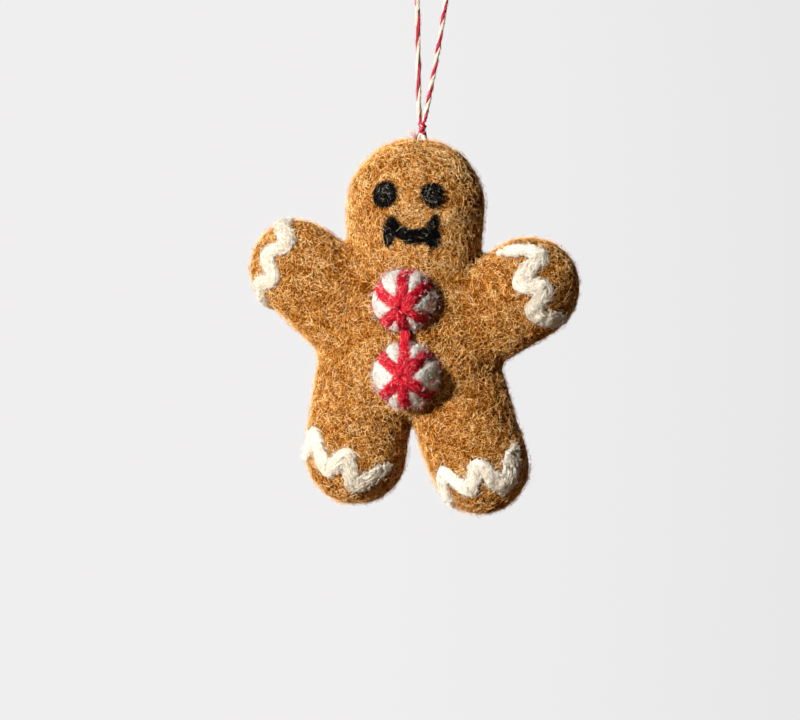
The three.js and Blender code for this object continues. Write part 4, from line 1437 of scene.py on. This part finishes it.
def dress_eyes():
    for seed, (name, (right, up, radius)) in enumerate(EYES_SHARE.items()):
        middle = on_face([(right, up)])[0]
        radius *= HEAD_HALF_WIDTH
        pad = eye_pad(name + "_pad", middle, radius, 70 + seed)
        worn(pad, "figure", "black_wool", name)
        rng = np.random.default_rng(80 + seed)
        surface = Surface(pad)
        spots, out = surface.scatter(EYE_FIBRES, rng)
        shown = ((spots - middle) * out).sum(1) > EYE_SHOWN_ABOVE
        spots, out = spots[shown], out[shown]
        lifts = rng.uniform(*EYE_FIBRE_LIFTS, len(spots))
        lines = lying(
            surface, spots, out, rng, EYE_FIBRE_LENGTHS, lifts, EYE_FIBRE_BOW, points=4
        )
        tones = rng.beta(*EYE_TONE_DRAW, len(lines))
        loose_wool(name + "_fibres", lines, THICK_HALF_WIDTHS, tones, black_wool, 84 + seed)
        lines = fringe(middle, radius, rng)
        tones = rng.beta(*FRINGE_TONE_DRAW, len(lines))
        loose_wool(name + "_fringe", lines, THICK_HALF_WIDTHS, tones, black_wool, 88 + seed)
        keep_clear(surface.points, EYE_CLEARANCE)


def dress_mouth():
    for seed, (name, (route, halves)) in enumerate(MOUTH_SHARE.items()):
        line = evenly(on_face(rounded(route, MOUTH_CUT_SHARE, ROUTE_STEP_SHARE)), LINE_STEP)
        strand = laid(skin, line, np.array(halves) * MM, MOUTH_RISE, 90 + seed, taper=MOUTH_TAPER)
        packed = strand.body(name + "_strand", black_felt)
        worn(packed, "figure", "black_wool", name)
        lines = wool_over(skin, strand, "mouth")
        tones = strand.rng.beta(*MOUTH_TONE_DRAW, len(lines))
        loose_wool(name + "_fibres", lines, THICK_HALF_WIDTHS, tones, black_wool, 95 + seed)
        keep_clear(strand.line, STRAND_CLEAR_SHARE * min(halves) * MM)


dress_eyes()
dress_mouth()

# The felt-ball buttons: each ball's radius in millimetres, how far the point where its rays
# meet is turned down, and the directions of its rays in the front view, in degrees.
BALLS = {
    "upper": (8.65, 15.0, [85, 37, -31, -84, -136, 147]),
    "lower": (9.0, 4.0, [90, 43, -42, -90, -135, 140]),
}
RAY_HALF_WIDTHS = np.array([1.4, 1.5, 1.45, 1.35, 1.2]) * MM
RAY_RISE = 0.85 * MM
RAY_TAPER = 0.8 * MM
# How far from the pole a ray runs, in radians, and the points of its line.
RAY_FALL = (0.02, math.radians(97))
RAY_POINTS = 30
GROOVE = 0.95 * MM
GROOVE_WIDTH = 1.7 * MM
PUFFED_SHARE = 0.02
PUFFS = (3 * MM, 7 * MM)
BALL_DETAIL = 5
# The balls sit a little deeper in the felt than in the solids, and their wool reaches this
# far behind their middle.
BALL_DEEPER = 1.9 * MM
BALL_WOOL_BEHIND = 1.5 * MM
# The link leaves each ball at this ray, so many degrees from the pole, and dips between.
LINK_ENDS = {"upper": (-84, 50), "lower": (90, 58)}
LINK_DEEPER = 1.2 * MM
LINK_HALF_WIDTH = 1.25 * MM
LINK_RISE = 0.8 * MM
BALL_FIBRES = 6000
BALL_FIBRE_LENGTHS = (1.2 * MM, 3.2 * MM)
BALL_FIBRE_LIFTS = (0.03 * MM, 0.3 * MM)
BALL_FIBRE_BOW = 0.8
BALL_FIBRE_TONES = (0.55, 0.25)
RAY_TONES = (0.45, 0.27)
BALL_CLEAR_SHARE = 0.97
# The fuzz stands round a ball's outline. In its front there is only this share of it.
BALL_HAIRS = 2200
BALL_HAIR_LENGTHS = (0.7 * MM, 2.2 * MM)
BALL_HAIR_LEANS = (0.2, 1.2)
BALL_HAIR_HALF_WIDTHS = (0.02 * MM, 0.04 * MM)
BALL_HAIR_CURL = 0.5
BALL_HAIR_TONES = (0.7, 0.2)
# A ball's front is where the cosine of the angle to its pole is over this.
BALL_FRONT_FROM = 0.6
HAIRS_IN_FRONT_SHARE = 0.35
RED_HAIR_SHARE = 0.3

white_felt = felt_finish("white_felt", WHITE_TONES, fibre_width=0.16 * MM, depth=0.1 * MM)
white_wool = fibre_finish("white_fibre", WHITE_TONES, roughness=0.55), "white_wool"
red_felt = felt_finish("red_felt", RED_TONES, fibre_width=0.16 * MM, depth=0.14 * MM)
red_wool = fibre_finish("red_fibre", RED_TONES, roughness=0.5), "red_wool"


class Ball:
    """A button's middle and the directions of its front view."""

    def __init__(self, name):
        radius, tilt, self.angles = BALLS[name]
        self.radius = radius * MM
        low, high = (np.array(corner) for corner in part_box(name + "_button"))
        self.middle = (low + high) / 2
        self.middle[1] = low[1] + self.radius + BALL_DEEPER
        turn = math.radians(tilt)
        self.pole = np.array([0, -math.cos(turn), -math.sin(turn)])
        self.right = np.array([1.0, 0, 0])
        self.up = np.cross(self.pole, self.right)

    def ray(self, angle, fall):
        """Points over the ball towards an angle, each as far from the pole as its fall."""
        turn = math.radians(angle)
        way = math.cos(turn) * self.right + math.sin(turn) * self.up
        fall = np.asarray(fall, float)[:, None]
        return self.middle + self.radius * (np.cos(fall) * self.pole + np.sin(fall) * way)


def felt_ball(name, ball, seed):
    """A felt ball, drawn in under its rays so that the wool puffs up between them."""
    bpy.ops.object.select_all(action="DESELECT")
    bpy.ops.mesh.primitive_ico_sphere_add(
        subdivisions=BALL_DETAIL, radius=ball.radius, location=ball.middle
    )
    piece = bpy.context.object
    piece.name = name
    bpy.ops.object.transform_apply(location=True, rotation=True, scale=True)
    mesh = piece.data
    points = read_points(mesh, "co").astype(float)
    out = unit(points - ball.middle)
    fall = np.arccos(np.clip(out @ ball.pole, -1, 1))
    turn = np.arctan2(out @ ball.up, out @ ball.right)
    drawn = np.zeros(len(points))
    for angle in ball.angles:
        off = turn - math.radians(angle)
        beside = np.arcsin(np.clip(np.sin(fall) * np.abs(np.sin(off)), 0, 1))
        beside = np.where(np.cos(off) > 0, beside, fall)
        drawn = np.maximum(drawn, np.exp(-((beside * ball.radius / GROOVE_WIDTH) ** 2)))
    puffed = 1 + PUFFED_SHARE * drift(points, seed, PUFFS)
    moved = ball.middle + out * (ball.radius * puffed - GROOVE * drawn)[:, None]
    mesh.vertices.foreach_set("co", moved.ravel())
    mesh.polygons.foreach_set("use_smooth", np.ones(len(mesh.polygons), bool))
    mesh.update()
    mesh.materials.append(white_felt)
    return piece


def dress_rays(name, ball, surface, seed):
    """The red strands that run from the pole over the ball, and the loose wool on them."""
    packed, lines = [], []
    for index, angle in enumerate(ball.angles):
        line = evenly(ball.ray(angle, np.linspace(*RAY_FALL, RAY_POINTS)), LINE_STEP)
        number = 120 + 10 * seed + index
        strand = laid(surface, line, RAY_HALF_WIDTHS, RAY_RISE, number, taper=RAY_TAPER)
        packed.append(strand.body(f"{name}_ray_{index}", red_felt))
        lines.append(wool_over(surface, strand, "ray"))
        keep_clear(strand.line, STRAND_CLEAR_SHARE * RAY_HALF_WIDTHS.mean())
    return packed, lines


def link_between(balls):
    """The strand that carries the upright rays on from one ball to the other."""
    ends = np.concatenate([
        balls[name].ray(angle, [math.radians(fall)]) for name, (angle, fall) in LINK_ENDS.items()
    ])
    middle = ends.mean(0) - LINK_DEEPER * FORWARD
    line = smooth_route(np.stack([ends[0], middle, ends[1]]), LINE_STEP)
    out = np.tile(FORWARD, (len(line), 1))
    return Strand(line, out, [LINK_HALF_WIDTH] * 2, LINK_RISE, 150, sunk=LINK_RISE)


def ball_spots(surface, ball, count, rng):
    """Places on the part of a ball that stands out of the felt, with the way out at each."""
    spots, out = surface.scatter(count, rng)
    shown = spots[:, 1] < ball.middle[1] + BALL_WOOL_BEHIND
    return spots[shown], out[shown]


def dress_white_wool(name, ball, surface, rng, seed):
    """The white fibres that lie on a ball between its rays."""
    spots, out = ball_spots(surface, ball, BALL_FIBRES, rng)
    lifts = rng.uniform(*BALL_FIBRE_LIFTS, len(spots))
    lines = lying(
        surface, spots, out, rng, BALL_FIBRE_LENGTHS, lifts, BALL_FIBRE_BOW, points=4
    )
    lines = lines[is_clear(lines)]
    tones = spread_of_tones(rng, *BALL_FIBRE_TONES, len(lines))
    loose_wool(name + "_ball_fibres", lines, FINE_HALF_WIDTHS, tones, white_wool, 114 + seed)


def dress_fuzz(name, ball, surface, rng, seed):
    """White and red hairs that stand off a ball, most of them round its outline."""
    spots, out = ball_spots(surface, ball, BALL_HAIRS, rng)
    lines = standing(
        spots, out, rng, BALL_HAIR_LENGTHS, BALL_HAIR_LEANS, BALL_HAIR_CURL, points=4
    )
    beside = np.abs(out @ ball.pole) < BALL_FRONT_FROM
    lines = lines[beside | (rng.random(len(lines)) < HAIRS_IN_FRONT_SHARE)]
    tones = spread_of_tones(rng, *BALL_HAIR_TONES, len(lines))
    red = rng.random(len(lines)) < RED_HAIR_SHARE
    for colour, chosen, wool in (("white", ~red, white_wool), ("red", red, red_wool)):
        fuzz = f"{name}_ball_{colour}_fuzz"
        loose_wool(fuzz, lines[chosen], BALL_HAIR_HALF_WIDTHS, tones[chosen], wool, 116 + seed)


def dress_balls():
    balls = {name: Ball(name) for name in BALLS}
    link = link_between(balls)
    for seed, (name, ball) in enumerate(balls.items()):
        piece = felt_ball(name + "_ball", ball, 100 + seed)
        worn(piece, "figure", "white_wool", name + "_button")
        surface = Surface(piece)
        packed, lines = dress_rays(name, ball, surface, seed)
        if name == "upper":
            packed.append(link.body("ball_link", red_felt))
            lines.append(link.wool("link"))
        rays = joined(name + "_ball_rays", packed)
        worn(rays, "figure", "red_wool", name + "_button_stripes")
        lines = np.concatenate(lines)
        rng = np.random.default_rng(110 + seed)
        tones = spread_of_tones(rng, *RAY_TONES, len(lines))
        loose_wool(name + "_ray_fibres", lines, THICK_HALF_WIDTHS, tones, red_wool, 112 + seed)
        dress_white_wool(name, ball, surface, rng, seed)
        dress_fuzz(name, ball, surface, rng, seed)
        keep_clear(ball.middle[None], BALL_CLEAR_SHARE * ball.radius)


dress_balls()

# The loose wool on the body, in regions. Each has the line down its middle in the front
# view and its half width, in millimetres.
REGIONS = {
    "head_wool": ((-1.35, -94), (-1.35, -112), 19),
    "torso_wool": ((-2.8, -124), (-2.8, -147), 25),
    "left_arm_wool": ((-22, -127), (-33, -120), 13.5),
    "right_arm_wool": ((17, -127), (29, -120.5), 14),
    "left_leg_wool": ((-16, -156), (-17.7, -166), 13.5),
    "right_leg_wool": ((10, -158), (16, -169), 13.5),
}
# The kinds of fibre in the wool: their number on a square millimetre, their lengths, their
# points and how much they bow.
WOOL_KINDS = [
    ("short", 8.1, (0.5 * MM, 1.5 * MM), 3, 0.9),
    ("long", 2.4, (1.2 * MM, 3.0 * MM), 4, 0.8),
]
WOOL_HALF_WIDTHS = (0.024 * MM, 0.06 * MM)
# The back has this share of the fibres, and they are thicker.
BACK_SHARE = 0.62
BACK_HALF_WIDTHS = (0.034 * MM, 0.075 * MM)
# How far the wool lifts off the skin, and how much of its tone comes from that, as painted shade
# and light, and from chance.
WOOL_LIFTS = (0.03 * MM, 0.5 * MM)
PAINTED_SHADE_FROM_HEIGHT = 0.74
TONE_FROM_CHANCE = 0.74
# The heights are beta draws with these two numbers, so few fibres lie high. Chance is an
# even draw to this power, so it makes few of them pale.
HEIGHT_DRAW = (1.0, 1.9)
CHANCE_POWER = 1.9
# Patches a few millimetres across, and wide ones, are darker or paler by these tones.
PATCHES = (2.5 * MM, 7 * MM)
PATCH_TONE = 0.1
WIDE_PATCH_TONE = 0.08
# The wool round the outline is darker by this tone: painted shade on the figure's sides. That fades
# to this power of the way towards the front or the back.
EDGE_PAINTED_SHADE = 0.1
EDGE_PAINTED_SHADE_POWER = 1.5
# The wool of the head is a little paler than the rest.
PALER_HEAD = 0.11
# Darker wool on the front: each spot's place in the front view and its reach in millimetres, and
# how much darker it is. The first two are small dark tufts, and the third darkens the wool just
# above the upper ball. The rest are painted shade: between the balls, in the crotch crease, on the
# right of the waist and on the right of the head.
DARK_TUFTS_AND_PAINTED_SHADE = [
    (-13.3, -121.0, 1.3, 0.6), (-2.0, -156.5, 1.2, 0.6), (-7.1, -115.6, 2.6, 0.2),
    (4.9, -134.5, 2.0, 0.4), (-1.0, -160.5, 2.4, 0.25), (20.5, -147.0, 4.0, 0.12),
    (12.5, -97.0, 7.0, 0.12),
]
# The back counts as this far from each spot.
BACK_OFF_SPOTS = 99
CROWN_CLEARANCE = 1.25 * MM
# Short hairs stand off the felt. Facing forwards or backwards they are fewer than round the
# outline, where the lit left side has more of them.
HAIR_HALF_WIDTHS = (0.022 * MM, 0.042 * MM)
HAIRS_PER_MM2 = 2.4
HAIR_LENGTHS = (0.5 * MM, 1.6 * MM)
HAIR_LEANS = (0.2, 1.3)
HAIR_CURL = 0.45
# The felt faces forwards or backwards where more than this of its way out is along Y.
FACING_FROM = 0.5
HAIRS_ON_FACE = 0.1
HAIRS_ON_OUTLINE = 0.65
MORE_ON_LEFT = 0.35
# Long curled ones lie over it.
CURLED_PER_MM2 = 0.25
CURLED_LENGTHS = (1.8 * MM, 5.0 * MM)
CURLED_LIFTS = (0.35 * MM, 1.35 * MM)
CURLED_BOW = 1.3
CURLED_FREE_SHARE = 0.6
# The hairs' tones are beta draws with these two numbers. Most of them are pale.
SHORT_TONE_DRAW = (2.6, 1.7)
CURLED_TONE_DRAW = (1.6, 1.7)
UPPER_HAIRS_ABOVE = -132 * MM


def region_of(points):
    """The number of the region whose line is nearest for its width."""
    flat = points[:, [0, 2]] / MM
    far = []
    for low, high, width in REGIONS.values():
        low, high = np.array(low, float), np.array(high, float)
        run = high - low
        share = np.clip(((flat - low) @ run) / (run @ run), 0, 1)
        far.append(np.linalg.norm(flat - low - share[:, None] * run, axis=1) / width)
    return np.argmin(far, axis=0)


def dress_body():
    """Curly fibres all over the skin. Those that lie higher are paler and lower ones darker:
    painted light and shade.
    """
    rng = np.random.default_rng(11)
    for kind, per_mm2, lengths, points, bow in WOOL_KINDS:
        spots, out = skin.scatter(int(skin.areas.sum() / MM**2 * per_mm2), rng)
        height = rng.beta(*HEIGHT_DRAW, len(spots))
        lifts = WOOL_LIFTS[0] + WOOL_LIFTS[1] * height
        lines = lying(skin, spots, out, rng, lengths, lifts, bow, points)
        clear = is_clear(lines) & ((out[:, 1] < 0) | (rng.random(len(spots)) < BACK_SHARE))
        lines, spots, out, height = lines[clear], spots[clear], out[clear], height[clear]
        # Painted shade and light: fibres that lie low are darker and high ones paler.
        tones = PAINTED_SHADE_FROM_HEIGHT * height
        tones += TONE_FROM_CHANCE * rng.random(len(lines)) ** CHANCE_POWER
        tones += WIDE_PATCH_TONE * drift(spots, 5) + PATCH_TONE * drift(spots, 6, PATCHES)
        # Painted shade round the outline.
        tones -= EDGE_PAINTED_SHADE * (1 - np.abs(out[:, 1])) ** EDGE_PAINTED_SHADE_POWER
        for x, z, reach, darker in DARK_TUFTS_AND_PAINTED_SHADE:
            far = np.hypot(spots[:, 0] / MM - x, spots[:, 2] / MM - z)
            far += BACK_OFF_SPOTS * (out[:, 1] > 0)
            tones -= darker * np.exp(-((far / reach) ** 2))
        regions = region_of(spots)
        tones = np.clip(tones + PALER_HEAD * (regions == 0), 0, 1)
        for index, name in enumerate(REGIONS):
            for side, facing in (("front", -1), ("back", 1)):
                chosen = (regions == index) & (np.sign(out[:, 1]) == facing)
                piece = f"{name}_{kind}_{side}"
                half_widths = WOOL_HALF_WIDTHS if facing < 0 else BACK_HALF_WIDTHS
                loose_wool(piece, lines[chosen], half_widths, tones[chosen], brown_wool, index)


def dress_hairs():
    """Fine pale hairs: short ones that stand off the felt, and long curled ones over it."""
    rng = np.random.default_rng(23)
    area = skin.areas.sum() / MM**2
    spots, out = skin.scatter(int(area * HAIRS_PER_MM2), rng)
    on_outline = HAIRS_ON_OUTLINE - MORE_ON_LEFT * out[:, 0]
    chance = np.where(np.abs(out[:, 1]) > FACING_FROM, HAIRS_ON_FACE, on_outline)
    kept = rng.random(len(spots)) < chance
    spots, out = spots[kept], out[kept]
    short = standing(spots, out, rng, HAIR_LENGTHS, HAIR_LEANS, HAIR_CURL, points=4)
    spots, out = skin.scatter(int(area * CURLED_PER_MM2), rng)
    lifts = rng.uniform(*CURLED_LIFTS, len(spots))
    curled = lying(
        skin, spots, out, rng, CURLED_LENGTHS, lifts, CURLED_BOW, 7, CURLED_FREE_SHARE
    )
    kinds = (("short", short, SHORT_TONE_DRAW), ("curled", curled, CURLED_TONE_DRAW))
    for kind, lines, draw in kinds:
        lines = lines[is_clear(lines)]
        tones = rng.beta(*draw, len(lines))
        upper = lines[:, 0, 2] > UPPER_HAIRS_ABOVE
        for part, chosen in (("upper", upper), ("lower", ~upper)):
            piece = f"{part}_{kind}_hairs"
            loose_wool(piece, lines[chosen], HAIR_HALF_WIDTHS, tones[chosen], pale_hair, 25)


# The wool leaves the twine room to swing where it goes into the crown.
keep_clear(np.array([end[-2] for end, _ in TWINE_ENDS.values()]) * MM, CROWN_CLEARANCE)
dress_body()
dress_hairs()
